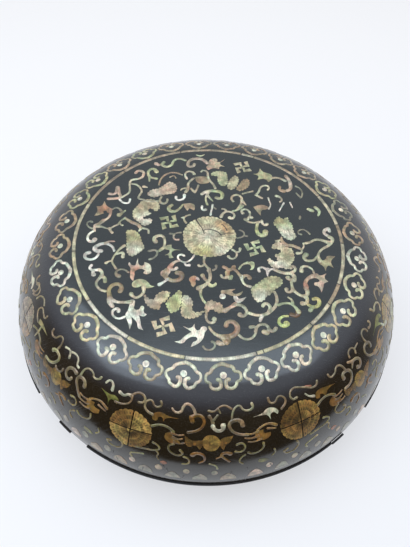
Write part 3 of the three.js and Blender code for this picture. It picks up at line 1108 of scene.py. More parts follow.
TOP_MARKS = read_rows("""
# Behind and left.
pink 3/4/2 -77,82 -75,85 -70,84 -69,79 -71,75 -75,73
cream 2.5 -75,73 -80,71 -81,66 -80,60 -80,54 -84,49 -88,46
pink 3/4/4/3 -99,51 -94,51 -92,60 -90,53 -88,47 -92,45 -99,44
cream 2/2.5/2.5/2 -79,66 -74,65 -70,61 -68,56 -69,52 -70,47 -65,45 -58,43 -51,44
cream 3/1 -67,63 -63,62
green 4/3.5/3/2.5 -56,85 -60,89 -64,86 -64,80 -62,77 -55,75
green 2.5/1.5 -63,79 -62,71
white 2/2.8/2 -88,44 -84,40 -79,40 -78,45
cream 2/3/3/2 -48,50 -49,44 -45,41 -42,44 -42,47
tan 1.5/2.5/2.5/1.5 -52,66 -51,74 -46,82 -38,85 -30,82
tan 1.5 -42,78 -38,80 -36,77
# Behind and in the middle.
pink 3.5/4.5/4/3 -5,101 -10,106 -16,107.5 -22,105.5 -25,100 -24,95.5 -19.5,96 -18.5,99
green 1/3/1 -17,113 -13,112 -9,114
green 2.5/3.5/3 -28,104 -34,106 -39,104 -41,99 -42,96 -47,93 -52,96 -50,100
pink 3/4 -55,95 -58,97
pink - -4,91 -6,95 -4,99 -3,106 2,109 5,107 4,104 9,104 13,109 8,101 13,97 8,97 7,93 2,94
cream 3/2.5/2.5 -18,84 -20,87 -25,87 -27,82 -25,77
cream 2/3.5/3 -18,78 -23,70 -23,62 -25,58
cream 1/3 -30,60 -28,62.5 -24.5,63
cream 2/2.5/2 -20,63 -16,58 -14,63 -13,68
tan - -17,80 -10,81 -4,80 -2,74 -6,71 -14,72
cream 2/3/2.5 -11,88 -9,90 -5,88 -4,82 -2,76 2,70 4,65
green 3/4.5/4.5/3 -9,56 -4,60 4,61 10,59 11,54 9,51 5,52
green 3/2/2 -3,58 -5,50 -3,42
green 2.5/1 -3,54 2,47
cream 2/3/3/2 22,48 20,52 24,57 29,55 30,48 28,42 26,38
cream 3/1 30,50 34,44
white 2.5/3 -34,51 -33,47.5 -29,47 -26,50 -26,54
cream 2 31,59 38,62 41,63
# Behind and right.
green - 49,97 52,92 60,88 61,82 57,77 54,81 46,80 47,85 42,88 46,89
cream 2.5/3 60,83 66,84 71,82 74,80
pink 3.5/4.5/3.5 75,87 77.5,82 79,75 78,68 75,66
tan 4/3 72,65 68,67 68,71
cream 2/2.5/2.5/2 56,66 57,70 54,72 49,69 47,63 44,58 50,54
white 1.6 56,55 57,50 58,46 56,40
cream 3/2.5/1.5 64,58 68,56 69,52 67,50
white 1.6/1 71,49 66,38
white 1.6/1 77,50 79,43
dim 1.5/2/1.5 84,63 88,57 90,62 88,70 84,73
# Left.
tan - -102,40.5 -98.5,34.5 -94,31 -93,27 -96.5,26 -99,28.5 -101.3,27 -100.2,25 -106,21.8 -108.5,21.5
-106.7,28 -108.5,33.5 -104,34.5
pink 3.5/3/2.5 -94.8,30 -94,24 -95.5,19 -99,15.5
tan 4/4.5 -99,16 -102,12 -105,9
cream 3/2/2/2 -104,8 -99,8 -95,6.5 -92,6.5 -87.5,10 -84.5,12
cream 3/2.5 -92,6.5 -90.5,3.5 -88.7,1.5
green 2/2/2 -84.5,12 -83.8,14.5 -82.5,17 -79.5,20
cream 1.5/2 -83,13 -82,11.5 -80.5,11
dim 2.5/1.5/2 -109.5,13.5 -112,14 -113.5,11 -111.5,7.5 -108,5.5
pink 3/3.5/2 -105.5,9.5 -106,6 -105,2.5
white 2/3/4.5 -106,2.5 -109,-1 -110,-5 -108.5,-9 -105,-10 -103.2,-7.5
white 2/3/4/5/4 -83.8,-19.5 -85.5,-16 -89,-12.8 -94,-11.8 -99,-14 -101.5,-17.5 -99,-20.5 -95.5,-20.5
pink 3/2.5/1 -93,-11.5 -90,-9.2 -85,-8.8
white 2/3/3.5/3.5 -97,-24 -99,-28.5 -104,-30.5 -108,-28.5 -108.3,-24.5 -105.5,-22.8
dim 2/2.5 -93,30.5 -90,32.8 -86.5,31.8 -84.3,29
green 1.5/3/4.5 -80.5,29.5 -83,26.5 -85.5,23.8
tan 2/4/4.5/3 -79.5,20.5 -76,17.5 -71,14.5 -66.5,12.5 -63.5,9
cream 2.5/2.5/2 -63.5,9 -60,8.3 -56.5,7 -55.5,3
cream 2.5/1.5 -63,8.5 -64.5,5
cream 2.8/2.2/2.2/2 -75.5,-13 -79,-17 -81.5,-22 -83.5,-27 -84,-31 -81.5,-36 -79.3,-39
cream 2/3.5/3 -81,-23 -78,-21.5 -76,-21.5 -75.2,-26
cream 2.5/1.5 -89,-33.5 -86.5,-31.5 -84,-31
dim 2.5/2.5/2 -53,-18 -49.5,-16.8 -46,-17.5 -45.5,-21 -47.5,-25 -51.5,-27.3
cream 4/4/3/2.5 -48,-7 -49.8,-3.5 -47,0 -42.5,0 -40.3,-4 -39.8,-9 -40,-12
# Middle, round the centre flower.
green 3/4.5/4.5/3/1.5 -37,39.5 -39.5,36.5 -39,33 -35.5,31.2 -32,32.5 -29,36 -26.5,41
tan - -26,42 -24.5,37 -21.7,32.8 -20,36.5 -15.5,33.8 -14.8,36.5 -16.5,42
white 2/2.2/2 2,42 1.5,37 0.8,33 0.5,29
white 2/3/3 -8,40 -8,36.5 -6,34.8 -4.5,35.5
dim 1.5 2,40 5.3,37
cream 3/2.5/2.5/2.5/3.5 10.5,27 12,31 15.5,34 19.5,33.8 22.5,31.5 22.8,28 20.5,25.7 18.5,26.5
cream 2/2.5 11.5,37.5 14,37 15,34
green 3/2.5/2 31,43 28,38.5 24,36 21.5,35
cream 3/2.5/2.5/2 31,33 29.8,35.5 32,38 35.5,37.5 37.8,34 37.6,30
cream 3/3/3 39.5,28 36.5,28 35.5,25 33,25.3
cream 2/2.5/2.5 33,25.5 36,22.5 40,21.5 44,22 47,23
cream 2/2.2/2 -19,27.8 -22,26.5 -24.3,23.5 -24,21 -22,17.5
cream 1/2.5 -26.8,24 -24.5,24
dim 2 -36,3.5 -32,3.3 -29,4.8 -26,5.3
pink 2/2.2 -32,3 -32.3,-0.5 -30.5,-3.3 -27.8,-3.3
green - -38,-11 -33.5,-9.5 -32.5,-13.5 -24.5,-15.3 -31.8,-17 -32.5,-21 -30.5,-24.2 -34,-25 -35.5,-22
-38.8,-22 -35.5,-19.5 -34.8,-16.5 -39,-14.5
green 3/2.5 -39.5,-12.5 -43.5,-17
white 2.2/1.8 -21.5,-21.3 -25,-20.5 -26.8,-23.5 -24.5,-27 -20.5,-28.7 -17,-27.3 -14,-24 -12.5,-20.5
white 2/2.8 -20.5,-29 -18.8,-32 -16.3,-31.8
pink 2/3.5/6/7 -25.5,-27.5 -29,-29 -32,-33 -34,-38 -37,-42
white 3/3 -32,-37 -28.5,-37 -27,-35.5
cream 2.8/2.5/2.5 -3,-21 -3.5,-25 -3.2,-29 -0.5,-33 1.5,-35
cream 2.5/2 -8,-31.5 -6,-32.5 -3,-30.5
dim 2.5/2 7.3,-31 7.3,-34 4.7,-36
cream 2.5/2 0.5,-36.5 1.5,-39 2.2,-43
dim 1.6 28,11.3 31,10 32.2,6.5 30.5,3.5 26,1.7
dim 1.8 32,5 35,4.5
cream 2/2.2/2.2/2.5 21.5,-12.2 24.8,-15 25.3,-18.5 23,-22 19.8,-22.3 17.8,-20
cream 2/2.5 24.8,-15 28,-13.5 28.3,-10.5
green 1.5/2/2.5 27.3,-33.5 30.5,-28.5 35,-26.2
green - 34,-27.5 36,-25.5 40,-25 41,-29 39,-33.5 36.8,-34 38,-31 37,-28.5
tan 3/3.5/3 13.8,-32 17,-34 18,-38 17,-42
tan 3.5/4/3 17.5,-35 20.5,-34.5 23,-31
tan 3/3/2.5 22,-33 25,-36 28.5,-41
# Right.
green 2.5/4/5.5/5 45,21 43.8,16 44,11 46.5,6.8 50.5,6.8 52,11
cream 2.5/3/3 48.8,24.5 49.5,21 52,19 53.8,20.5
cream 1.5/2.5/2 66.5,5 65.5,2 61,0.3
tan 2.5/4.5/4/2.5 66,2.5 67.5,-1 71,-4 76,-4.5 80.5,-6.5 83,-8
cream 1.5/2/3 86,-1 86,-5 84,-9 83.5,-12 79.5,-13
green 4.5/4/3/2 87.5,-14 85.5,-17 87,-20.5 91,-20.8 94.5,-19.3 96.5,-16.5
cream 2.5/3/4 88,-1 92.5,0.8 96.5,3.5 101,4 106,2.5 110,1
cream 3.5/4/3/2.5/4 110.5,8 113,6 111.5,1 108,-3 102.5,-7 99.5,-11 98.2,-16 99.5,-21
white 3/4/3 109,9.5 106.5,12 107,15.5 110.5,18 111.5,15
tan - 98,-17 101,-20 104.5,-18 106,-15 113.5,-14.5 109,-21 110.5,-27.5 106,-25 104.5,-27.5
103.3,-31.5 101.3,-26 98.5,-23.5
cream 3.5/3/2/1.8 82,-33 82.3,-29 85.5,-27.3 89.5,-28.5 92,-31.5 92.7,-35
white 2.5/2.5/2 45,-35 44.5,-32 48.5,-30.7 52,-34
white 3.5/0.8 52.3,-32.5 52,-39.5
white 2.5/2 52.5,-35 55,-32.5 58,-31.8
cream 3/4/4/4 58,-32 62,-34.3 67,-35.8 72,-36 75,-38.5 74.5,-43
cream 3/3/3.5 73,-35 76,-32.5 76.3,-29 73.8,-27.8 72.5,-29.5
dim 1.8 85,9.5 82.3,11 83.5,14.5 87.5,15.5 91,13 92.8,10.5
dim 2 85.5,32 85,29
tan - 41,42 44,37 48,30.5 49.5,38 53,39 57,42 50,45
green 3/4/1.5 101,45 104.3,40.5 104,37 102.7,34
green 3/3.5 94,42 98,40
# In front and left.
white 2.5/3/3 -101,-36.5 -102,-39.5 -100,-41.5 -96.5,-41.5 -93.5,-41
white 3/4 -98.5,-42 -98.5,-44.5 -97.5,-46.5
cream 3/3.5/3/2.5/2.2 -93.5,-41 -91,-43.5 -90.3,-47 -92.5,-51 -93.8,-55 -92,-59 -88.5,-62 -84.8,-63
green 3/4/3 -91,-47.5 -87.8,-49.5 -86.5,-53.3
tan 4/4/4.5/4/4.5 -72.5,-62.3 -71.8,-58.5 -75,-55.3 -79.5,-56.5 -82,-61 -81,-66 -79.5,-71
pink 5/6.5/5/3 -79.8,-70.5 -79,-74 -76.5,-77.5
cream 3.5/3/3/3.5 -78,-71.5 -73,-73.2 -67,-73 -62,-72.5
dim 4/3/2/1.8 -75.8,-46.8 -78,-45.5 -78.5,-42 -75.5,-39.7 -71.5,-40 -68,-42.5
pink - -68.8,-31.3 -66,-34.5 -63,-34.8 -61.8,-26 -59.5,-34 -56.5,-34.3 -55.5,-30.5 -51,-32.5
-48.8,-38 -49,-41.5 -52,-43.6 -55.5,-42.5 -54,-39.7 -57,-38.2 -60,-38.8 -62.6,-41 -62.5,-45
-62.8,-51.5 -65.5,-48.5 -66.5,-43 -67,-37.5 -69.2,-34
green - -63.5,-55 -62.3,-51.3 -58,-49 -54,-49.3 -50,-52 -47.5,-55 -44.3,-55.7 -46.7,-57.2 -51.3,-58
-54.7,-56 -58,-57.5 -62,-57.5
cream 3.5/3/3/3/3.5 -53.3,-57 -52.8,-62 -55,-66 -58.5,-68 -61.5,-66.5 -63,-64.5
white - -63,-70.5 -59.5,-70.5 -58.8,-75 -58.5,-79 -55,-79.5 -52.8,-75.8 -51,-76.5 -50.5,-81.5
-47.7,-83.8 -50,-85.8 -54,-84.8 -52,-91 -51,-95 -49,-98.4 -53,-97 -55,-91.5 -60,-86.5 -58.8,-92
-59.8,-98.4 -62,-92 -65,-85 -63.5,-80.5 -63,-75
white 2/2.2/2.8/3 -65.5,-87 -69.5,-88.8 -73.5,-87.5 -75.8,-84 -74.8,-80.5 -71.8,-79.8 -71,-82
white 3.2/2.2 -40.5,-53.8 -37,-51 -33.8,-47.8
# In front and in the middle.
tan 4.5/4.5/4.5/5/6/4 -35.5,-38.5 -37,-43 -33,-47.8 -27,-49 -22.5,-46 -22.8,-41.5 -26.5,-40.5
tan - -13.3,-43.6 -15.6,-46.7 -13.8,-50.5 -13.3,-53 -11.3,-55 -9.5,-51.5 -10,-48 -8.7,-45.3
-10.5,-43
white 2.5/2 -8.8,-45.3 -7.4,-46.8
cream 2.5/3.5/3.5/4/4.5 1.5,-37 2.5,-43 1.5,-48 -2,-52.5 -7,-55.8
tan 3.5/3/3 -4.3,-42 -2,-46 1,-48.5
green - 1.5,-49 5,-51 7.3,-48.8 8.4,-50.6 5.3,-54 2,-53.8 0.5,-51.5
green 3/2.5/2 -5.3,-56.5 -4.8,-62 -3,-67 -0.7,-70
cream 2/2.5/3/4 0.3,-81.5 1.5,-87 4.5,-89 7.5,-87 7.2,-85.3
pink 4/3.5/4 15.5,-77 20,-73.5 24,-70.3
cream 3/3.5/3.5/3/4 24,-70.5 29,-71 32.5,-74 33.3,-78.5 30.5,-81.3 28,-80
white - 11.3,-61.5 13.5,-60 16,-61.8 15.6,-64.5 13.3,-65.5 11,-64
tan - 12.2,-60.5 12.3,-57 15,-56.5 18,-55.8 24.5,-54.8 21,-57.5 24,-59.8 30.8,-56.5 28.8,-60.5
25,-62 20,-61.5 16,-60
white - 22.5,-62 25.5,-62 27,-64.3 29.5,-64 33.5,-62.3 30,-67 26.5,-68.7 23.3,-66
green 3/3.5/3.5 16.7,-37.5 17.5,-41.5 19.5,-43.8
cream 2.2/2.6/3 11.8,-41.3 13.5,-43.6 17.5,-43
green 3/2.2 20,-44 21,-41.5
white 3/2.5/2.5 29.3,-41 30.2,-46 32.5,-50 37,-51.7
tan 3.5/4/3.5 29.5,-43 31.5,-41 35,-40.5 36.5,-42.8
tan 3.5/4/5/5.5/5.5/5.5 16.8,-91 17.5,-88.3 21.5,-87 25,-89.5 26,-94 23.5,-98.5 19,-101 15,-102
pink 4/4.5/4 15,-101.5 16.3,-104.8 14,-107.5 10.8,-106.5
tan 4.5/4.5 17.5,-101 19,-104 17.3,-106
cream 1.8/2.5/3.5/4.5 3.3,-93 6,-97 10,-100 15,-101.8
cream 2.2/2.5/2.5/3 27,-98.8 30.5,-101.8 35,-102.3 39,-99.5 40.8,-95 40,-91 36.5,-91.3
cream 2.5/3/3/3.5/4 40.5,-95 42,-90.5 46,-88.3 50,-89.5 51,-93 49.5,-96 47.3,-95
cream 3/3.5/3 51,-93 54.5,-94 57,-91.3
white - -23.5,-107.5 -19,-106 -16.5,-103 -13,-99.8 -10.5,-98 -13.5,-96 -18,-93 -11.5,-94.5
-8.5,-90.5 -8,-94.5 -5.5,-96.5 -1.5,-92.5 1.5,-94 0,-98.5 -1,-103 -4,-107.5 -10.3,-111.5 -9,-107.5
-5.8,-105 -6,-103 -10,-102.5 -14,-105 -17,-108.5
dim 1.8/2/2.2 -0.8,-110.5 1.5,-113 5.5,-113 8.3,-110 7.8,-107 6,-106
# In front and right.
cream 2.2/3/3.5/4/3/2.5 57.2,-56 59,-62 58,-69 54,-74.5 48,-79 42,-79.8 35,-78
cream 3/3.5/3.5/3 47,-70.5 49,-68.2 52,-69.3 53,-72.5 51.8,-76
white 3/2 46,-80 44.3,-85.3
green 2.5/2.5/2.8/3.5 60,-69 65,-67 70.5,-67.3 74,-70.5 76.5,-75
brown 4.5/5/3.5 76.3,-74.5 74.5,-78.3 70,-77.5
green 1.2/2.5/2.5 68.5,-60.8 71.5,-63.5 72,-67
lime 1.8/3/4/5 67.3,-79.3 62.5,-80.3 59.8,-84 61,-88 64.5,-88.3 65.8,-86.5
cream 3/3.2/4 74.5,-38.5 74.5,-41.5 71.5,-42.5 69.5,-40.5
cream 2.5/2.8/3 72.3,-42.5 72.5,-48 73,-53
cream 3.2/3/3 67.5,-52.5 68.3,-55.3 71,-55.3 73,-53
cream 3/3/4/4.5/3.5 73,-53 76.5,-56.5 80.5,-58.8 84.5,-57.5 85.2,-53 84,-50.5
cream 4/3.5/4 83,-59 84.5,-62.5 83,-66 80,-66.3
pink 4/4/4/4 84.8,-50 84.3,-45 87,-40.5 91.5,-37.5
pink - 91,-39.3 92.5,-36.5 94.8,-34.5 97.5,-36.5 103.5,-34 101.5,-39 104.2,-42.8 100.5,-45 99.3,-49
97.3,-54.5 95,-48.5 92,-47 92.3,-44.5 94.5,-44 97,-42.8 95.5,-40.3
lemon 3/4/4.5/3.5/2.5 89.8,-61.5 93,-61 94.3,-65 91.5,-68.8 87.5,-69 84.8,-67.3
green 3/3.5 88.5,-69.5 86,-72.8
""")

TOP_PLAQUES = read_rows("""
pink - -62,53 -58,59 -52,61 -47,66 -42,71 -36,68 -34,62 -36,56 -42,54 -50,51 -56,49
cream - -66,43 -70,36 -73,30 -72.5,24 -71,20 -66,16 -61,11.8 -56,14 -54,18 -56,20.8 -61,19.8 -63,22
-58,25.5 -56,27.3 -59,30.5 -58,33.8 -54.5,33.2 -52,30.5 -48.8,34 -49,38 -51,43 -58,46
olive - -76,4 -72.5,5.8 -67,4.2 -63,-1 -60.5,-8 -57.7,-14 -60,-18.5 -64.5,-23 -68.5,-24.5
-72.5,-19.5 -74,-10 -75,-2
green - -1,84 1,88 8,90 14,88 15.5,82 16,74 13,69 9,70 6,76 6,82 1,83
cream - 16,67 17,75 21,82 24,84 27,80 26,72 23,66 19,64
tan - 25,66 28,72 31,78 36,80 38,75 36,68 31,64 27,63
green - 60,21 61.5,26.5 65,30.5 69,27.5 73,30 74.8,25 77,21 78,13 79.8,7 77.3,3.2 73.3,2.2 68,6
64.7,12.5 62,18
cream - 57.3,-6 60,-2.5 64,-0.5 68,-4.5 71,-6.5 75,-8.5 76.5,-15 76.3,-20 73.5,-25 70,-31 64.5,-29.8
58.5,-31 54.5,-27 52.8,-22.5 54.5,-20.3 57.5,-23 60.8,-23.5 61.3,-20 59.3,-16 63.3,-14.5 65.3,-10.5
61,-8.8 58,-9.3
# In front: three petals, a folded leaf and the oval.
tan - -52,-64.5 -49.5,-67 -46.5,-69 -43,-68.5 -42,-65 -38,-61 -34,-60.3 -30.8,-61.5 -31.8,-66.5
-34,-70.5 -37.5,-73 -38,-78 -42.5,-78.2 -47,-76 -50.5,-71.5
green - -26.6,-63 -24,-59.3 -21.3,-60 -20.6,-65 -20.6,-71 -22.5,-78 -26,-80.5 -28.7,-81 -31,-77.5
-33,-72.5 -30.5,-67
cream - -19.6,-65 -16.8,-63.3 -13,-66.5 -11,-71 -11.5,-76 -9.5,-79.5 -5,-79.3 -1.3,-77.8 -4.5,-82.5
-10,-85.3 -15.5,-85.7 -19.3,-83 -20.3,-78 -20,-71
tan - 0.3,-70 4,-67.3 8,-68.8 12,-70 14,-74 14.2,-78 11,-79.3 7.5,-77.5 5,-76 2,-78.5 1,-83 -0.5,-80
-0.8,-74
green - 38.2,-53 44.5,-46.8 51,-41.3 57.3,-39.6 62.8,-41 64.8,-45 62.5,-49.5 57,-54 54,-58.5
50.5,-60.8 48,-64.8 43.5,-67 40.5,-64.5 38.2,-59.5
""")

# Where the shell of the top turns to another colour within a piece: (x, y, reach, tint).
PLAQUE_WASH = (
    (-66, -18, 13, "white"), (-71, 2, 9, "olive"), (-60, 18, 14, "white"), (-64, 40, 12, "tan"),
    (-40, 68, 9, "pink"), (-55, 54, 10, "pale"), (71, 8, 13, "white"), (65, 27, 9, "moss"),
    (62, -27, 12, "white"), (64, -4, 9, "pink"), (68, -18, 8, "green"), (-47, -70, 9, "pale"),
    (-34, -65, 8, "sand"), (-25, -70, 11, "lime"), (-14, -82, 9, "sand"), (-15, -67, 7, "white"),
    (5, -72, 8, "pink"), (46, -62, 10, "white"), (56, -45, 10, "olive"), (8, 86, 10, "sand"),
)
VINE_WASH = (
    (-61, -40, 9, "orange"), (-52, -36, 9, "pale"), (-66, -31, 7, "white"), (8, 58, 8, "lime"),
    (-6, 56, 6, "white"), (-12, -48, 7, "orange"), (64, -85, 7, "lime"), (90, -65, 8, "lemon"),
    (86, -46, 8, "orange"), (98, -38, 7, "tan"), (-80, -60, 10, "moss"), (-78, -74, 7, "white"),
    (-56, -76, 8, "sand"), (-60, -92, 8, "white"), (-100, 30, 8, "orange"), (-32, -34, 6, "orange"),
    (-24, -46, 7, "brown"), (33, -48, 7, "olive"), (22, -36, 8, "umber"), (70, 28, 7, "pale"),
    (-20, 100, 7, "tan"), (6, 100, 8, "sand"), (104, -22, 8, "olive"), (20, -95, 8, "orange"),
    (-12, -96, 8, "pale"), (76, 78, 7, "white"), (-22, 62, 8, "tan"), (-24, 80, 7, "pale"),
    (46, 12, 7, "lime"), (50, 22, 5, "pale"),
)

# The plaques are lighter than their tints, and cut round in small petals.
PLAQUE_LIGHT = (1.14, 1.14, 1.08)
PLAQUE_PETAL_MM, PLAQUE_SCALLOP_MM = 3.4, 0.8

lay_rows("top_vine", top, TOP_MARKS, pale_nacre, spots=VINE_WASH)
plaques = [
    (tint, widths, *scalloped(points, PLAQUE_PETAL_MM, PLAQUE_SCALLOP_MM))
    for tint, widths, *points in TOP_PLAQUES
]
lay_rows(
    "top_plaques", top, plaques, pale_plaques,
    lift_mm=DRAWING_STEP_MM, light=PLAQUE_LIGHT, spots=PLAQUE_WASH,
)


# --- The border of ruyi heads

RUYI_COUNT, RUYI_FIRST = 28, 6.6
# Half a head, in mm across and down, and its widths.
RUYI_HALF = (
    (0, 2.2), (4.2, 3.5), (7.9, 5.9), (9.2, 8.4), (12.6, 10.3), (13.6, 12.8), (13.1, 15.2), (10.4, 17.0),
    (9.7, 19.2), (7.6, 20.8), (4.9, 21.2), (2.6, 19.8), (1.9, 17), (2.6, 14.9), (4.3, 14.3),
)
RUYI_WIDTHS = (2.8, 3.0, 2.7, 2.8, 3.0, 3.3, 2.7)
RUYI_TINTS = ("cream", "pale", "sand", "pale", "sand")
# Painted shade: darker tints for the heads at the back.
RUYI_SHADED_TINTS = ("tan", "tan", "olive", "dim", "tan")
# Painted shade: between these degrees the heads lie at the back, and are tinted darker, as the shell
# seen there catches less light.
RUYI_BACK = (84, 280)
RUYI_DOT_DOWN, RUYI_DOT_RADIUS = 11.0, 2.6
# How far a drawn point wanders across and down, in mm, and half a head round the lid, in degrees.
WANDER_ACROSS, WANDER_DOWN, WANDER_ROUND = 0.25, 0.3, 0.1
# The six knots of a round plate.
HEXAGON = [(math.sin(math.tau * n / 6), math.cos(math.tau * n / 6)) for n in range(6)]


def on_side(at, points):
    """Points in mm across and down from a place round the lid, as degrees and mm down."""
    return [(at + math.degrees(x * MM / side.radius_at(down * MM)), down) for x, down in points]


def ruyi_head(at, tint):
    """One head's two mirrored halves."""
    halves = []
    for mirror in (-1, 1):
        jitter = []
        for x, down in RUYI_HALF:
            wander = draw.uniform(-WANDER_ACROSS, WANDER_ACROSS) * (x > 0)
            jitter.append(((x + wander) * mirror, down + draw.uniform(-WANDER_DOWN, WANDER_DOWN)))
        half_at = at + draw.uniform(-WANDER_ROUND, WANDER_ROUND)
        halves.append((tint, RUYI_WIDTHS, *on_side(half_at, jitter)))
    return halves


heads, dots = [], []
for head in range(RUYI_COUNT):
    at = RUYI_FIRST + head * 360 / RUYI_COUNT
    # Heads at the back take the darker tints, as painted shade.
    heads += ruyi_head(at, draw.choice(RUYI_SHADED_TINTS if RUYI_BACK[0] < at < RUYI_BACK[1] else RUYI_TINTS))
    dot = [(RUYI_DOT_RADIUS * x, RUYI_DOT_DOWN + RUYI_DOT_RADIUS * y) for x, y in HEXAGON]
    dots.append(("pale", None, *on_side(at, dot)))
lay_rows("ruyi_heads", side, heads, pale_nacre)
lay_rows("ruyi_dots", side, dots, pale_nacre, lift_mm=DRAWING_STEP_MM)


# --- The hooked crosses of the top's vine: (x, y, the way their arms hook, tint)

CROSSES = (
    (-38, 17.5, 1, "green"), (31, 97.5, 1, "cream"), (41.5, -9, -1, "green"), (-33.5, -94, -1, "cream"),
)
CROSS_TILT = 20
CROSS_ARM = ((1.35, 1.35), (1.35, 4.6), (6.6, 4.0), (7.4, 8.2), (-1.35, 7.4))


def cross_outline(x, y, hook):
    """A cross of four hooked arms, each arm the one before turned by a quarter."""
    outline = []
    for quarter in range(4):
        turn = math.radians(CROSS_TILT + hook * 90 * quarter)
        for across, along in CROSS_ARM:
            across *= -hook
            point_x = x + across * math.cos(turn) - along * math.sin(turn)
            outline.append((point_x, y + across * math.sin(turn) + along * math.cos(turn)))
    return outline


crosses = [(tint, None, *cross_outline(x, y, hook)) for x, y, hook, tint in CROSSES]
lay_rows("hooked_crosses", top, crosses, pale_nacre, lift_mm=2 * DRAWING_STEP_MM)


# --- The side's vine between the chrysanthemums

SIDE_VINE = read_rows("""
# Left.
tan 2.2 -72,38 -70,35 -68.3,36 -68,40 -70,45
tan 2.2 -67,41 -66.5,36 -64.5,33 -62.5,35
tan 2.2 -58.3,36 -58.5,39 -60.5,38.5 -62,37.5 -63,42 -62,46 -60,48.5
olive - -60,44.5 -58.5,43.5 -53.5,45.5 -57,46.5 -59.5,48.5
olive 2/3/1 -57.5,47 -57.5,52 -58,60
tan 2.2 -53,36 -52.8,39 -50.5,39 -49.5,34.5 -48.3,33.5 -47.3,38 -47.5,43
olive 4/4/3.5/3 -48.8,48 -48,46 -46.5,46 -45.5,48 -46,54 -48,59 -50,59.5
white 2/2.5 -45.5,36.5 -43.5,35.5 -42.5,40.5
white 2/2.5 -43,35.5 -41,34 -39.5,36 -39,40 -38.2,41
tan 4/4/3.5/3 -38,46 -39.5,45 -41,48 -41,54 -39.5,56 -38.8,53
cream 2.2 -36.5,45 -36,38 -34.5,35.5 -33,37 -32.5,39 -30.8,38 -30.3,35.5
tan 4/4/3.5/3 -34,51 -34.5,47 -36.5,46.5 -37,50 -36,56 -34.5,62
tan 2.2 -45.3,56.5 -44.5,58 -43,56.5 -42.5,52.5
white 2/3 -28.3,37 -27.5,34 -26.3,35 -25.8,40
leaf - -29,43 -26,44 -24.5,43 -23,46 -23.3,49 -24.5,47 -25.5,48 -25.7,53.5 -26.3,48
# In front.
white 3 -23.5,38.5 -22,39.5 -21,37.5 -20,37.5
tan 2/3/2 -20,37.5 -18.8,34 -17.5,33 -16,35.5 -16.2,39 -17.5,40.3
tan 2 -19.7,37.5 -19.7,42 -21.2,46 -24,47.5
tan 2.5/2 -13,46.3 -14.8,44.5 -15.6,40.5 -14.8,36 -13.8,36 -13,39 -11.8,39.2 -11,37 -11.4,34.5
gold - -13,48 -12.5,50.5 -11.6,50 -11.3,47 -10.3,46.8 -9.9,50 -9.3,47 -5.8,45.4 -9,44.5 -10.5,43
-12.2,44
pink 1.5/3/3/2.5 -8,38 -7,40.5 -5.5,39.5 -5,35.5 -4.2,33 -2.6,34.5 -1.5,40
gold 3.5/4/3.5/3/2.5 -2.2,46.5 -2.6,43 -0.8,41 0.7,43.5 0.7,49 -0.7,53.5 -3.2,56
tan 2 2,37.3 3.5,37.8 4.8,35 6.5,33.5 8.3,36.5
tan 2/1 4.6,36 5.3,39.5
tan 3 2.2,41.5 2.8,44 3.2,47
tan 2 4.5,41 3.3,45
white 3.5/4/4.5 3.2,49.5 3.8,52.5 5,53.8 5.9,52 5.9,49.3
cream 2/2.5 8.3,46 8.5,40.5 9.4,35.8 10.6,34.7 11.6,38.2 13.2,39.3 14.3,37.5 14.1,34.5
tan 4/4.5/4/3/2.5 11.1,51 10.6,47 8.8,46 7.6,48.5 8,53.5 9.8,58 12.3,59.8
tan 2.2 19,33.5 19.4,37.5 20.8,38 22,34.8 23.5,36.5 23.8,40.5 22.2,45
white - 14,45.5 17,43.5 18,41.5 20,42 21.2,46 20.8,48 19.8,45.5 18.9,46.5 18.8,51 17.9,46.5
16.5,45.5
# Right.
tan 2.2 27.3,41 26,41 25.6,36 27,33 29,34.5 31,37 32.5,39.5 34.3,39.3 34.8,37
white 1.5/2.5 30,41.5 30.8,44.5 32.4,47
orange 2 30.8,36.2 32.4,38
gold - 33,46 34.5,44.3 37,45.8 40,48.5 37,49 35.8,53.3 35,49 34.3,48.3 33.9,51.3 32.9,50
tan 2/2.5 38.8,38 39.3,41.2 41.2,40.8 42.5,37.5 44,39 44.8,45
tan 4/4/4/3.5/3 43.3,51 43.3,47.5 44.8,46.5 46.3,50 46,56 44.5,59.8 42.6,60
tan 2 48.2,40 48.6,36.5 50.2,35.2 51.3,38.5 51,42
tan 2/1 51.3,38.5 53.5,37.3
tan 2/4/4/4/4 46.7,42 48.5,44.5 50.3,46 51.2,50.5 50.3,54.5 49.3,53
tan 3/1 48.5,45 47.3,49.5
tan 2.2 56.6,44 56.4,38.5 57.5,34.8 59,35.8 59.5,39.8
tan 4/4/3.5/3/3/3.5 57.5,51.5 57.3,47 55.3,45.5 54.3,49 55,55.5 57,60 58.8,61.5
tan 2.5 60.6,39.5 62,39.8 62.5,38 62.3,36
leaf - 60.5,48.5 64,45.3 66,42.7 68.2,45 68.6,49.5 67,48 65.8,48 66.8,54 65,50 63.5,47.5
white 2/5 66.5,53 67.5,58 69.3,61
cream 3/2.5 66.5,33.5 67.3,38 69,36.8 70.8,38.5 71.2,42.5 70,46
""")

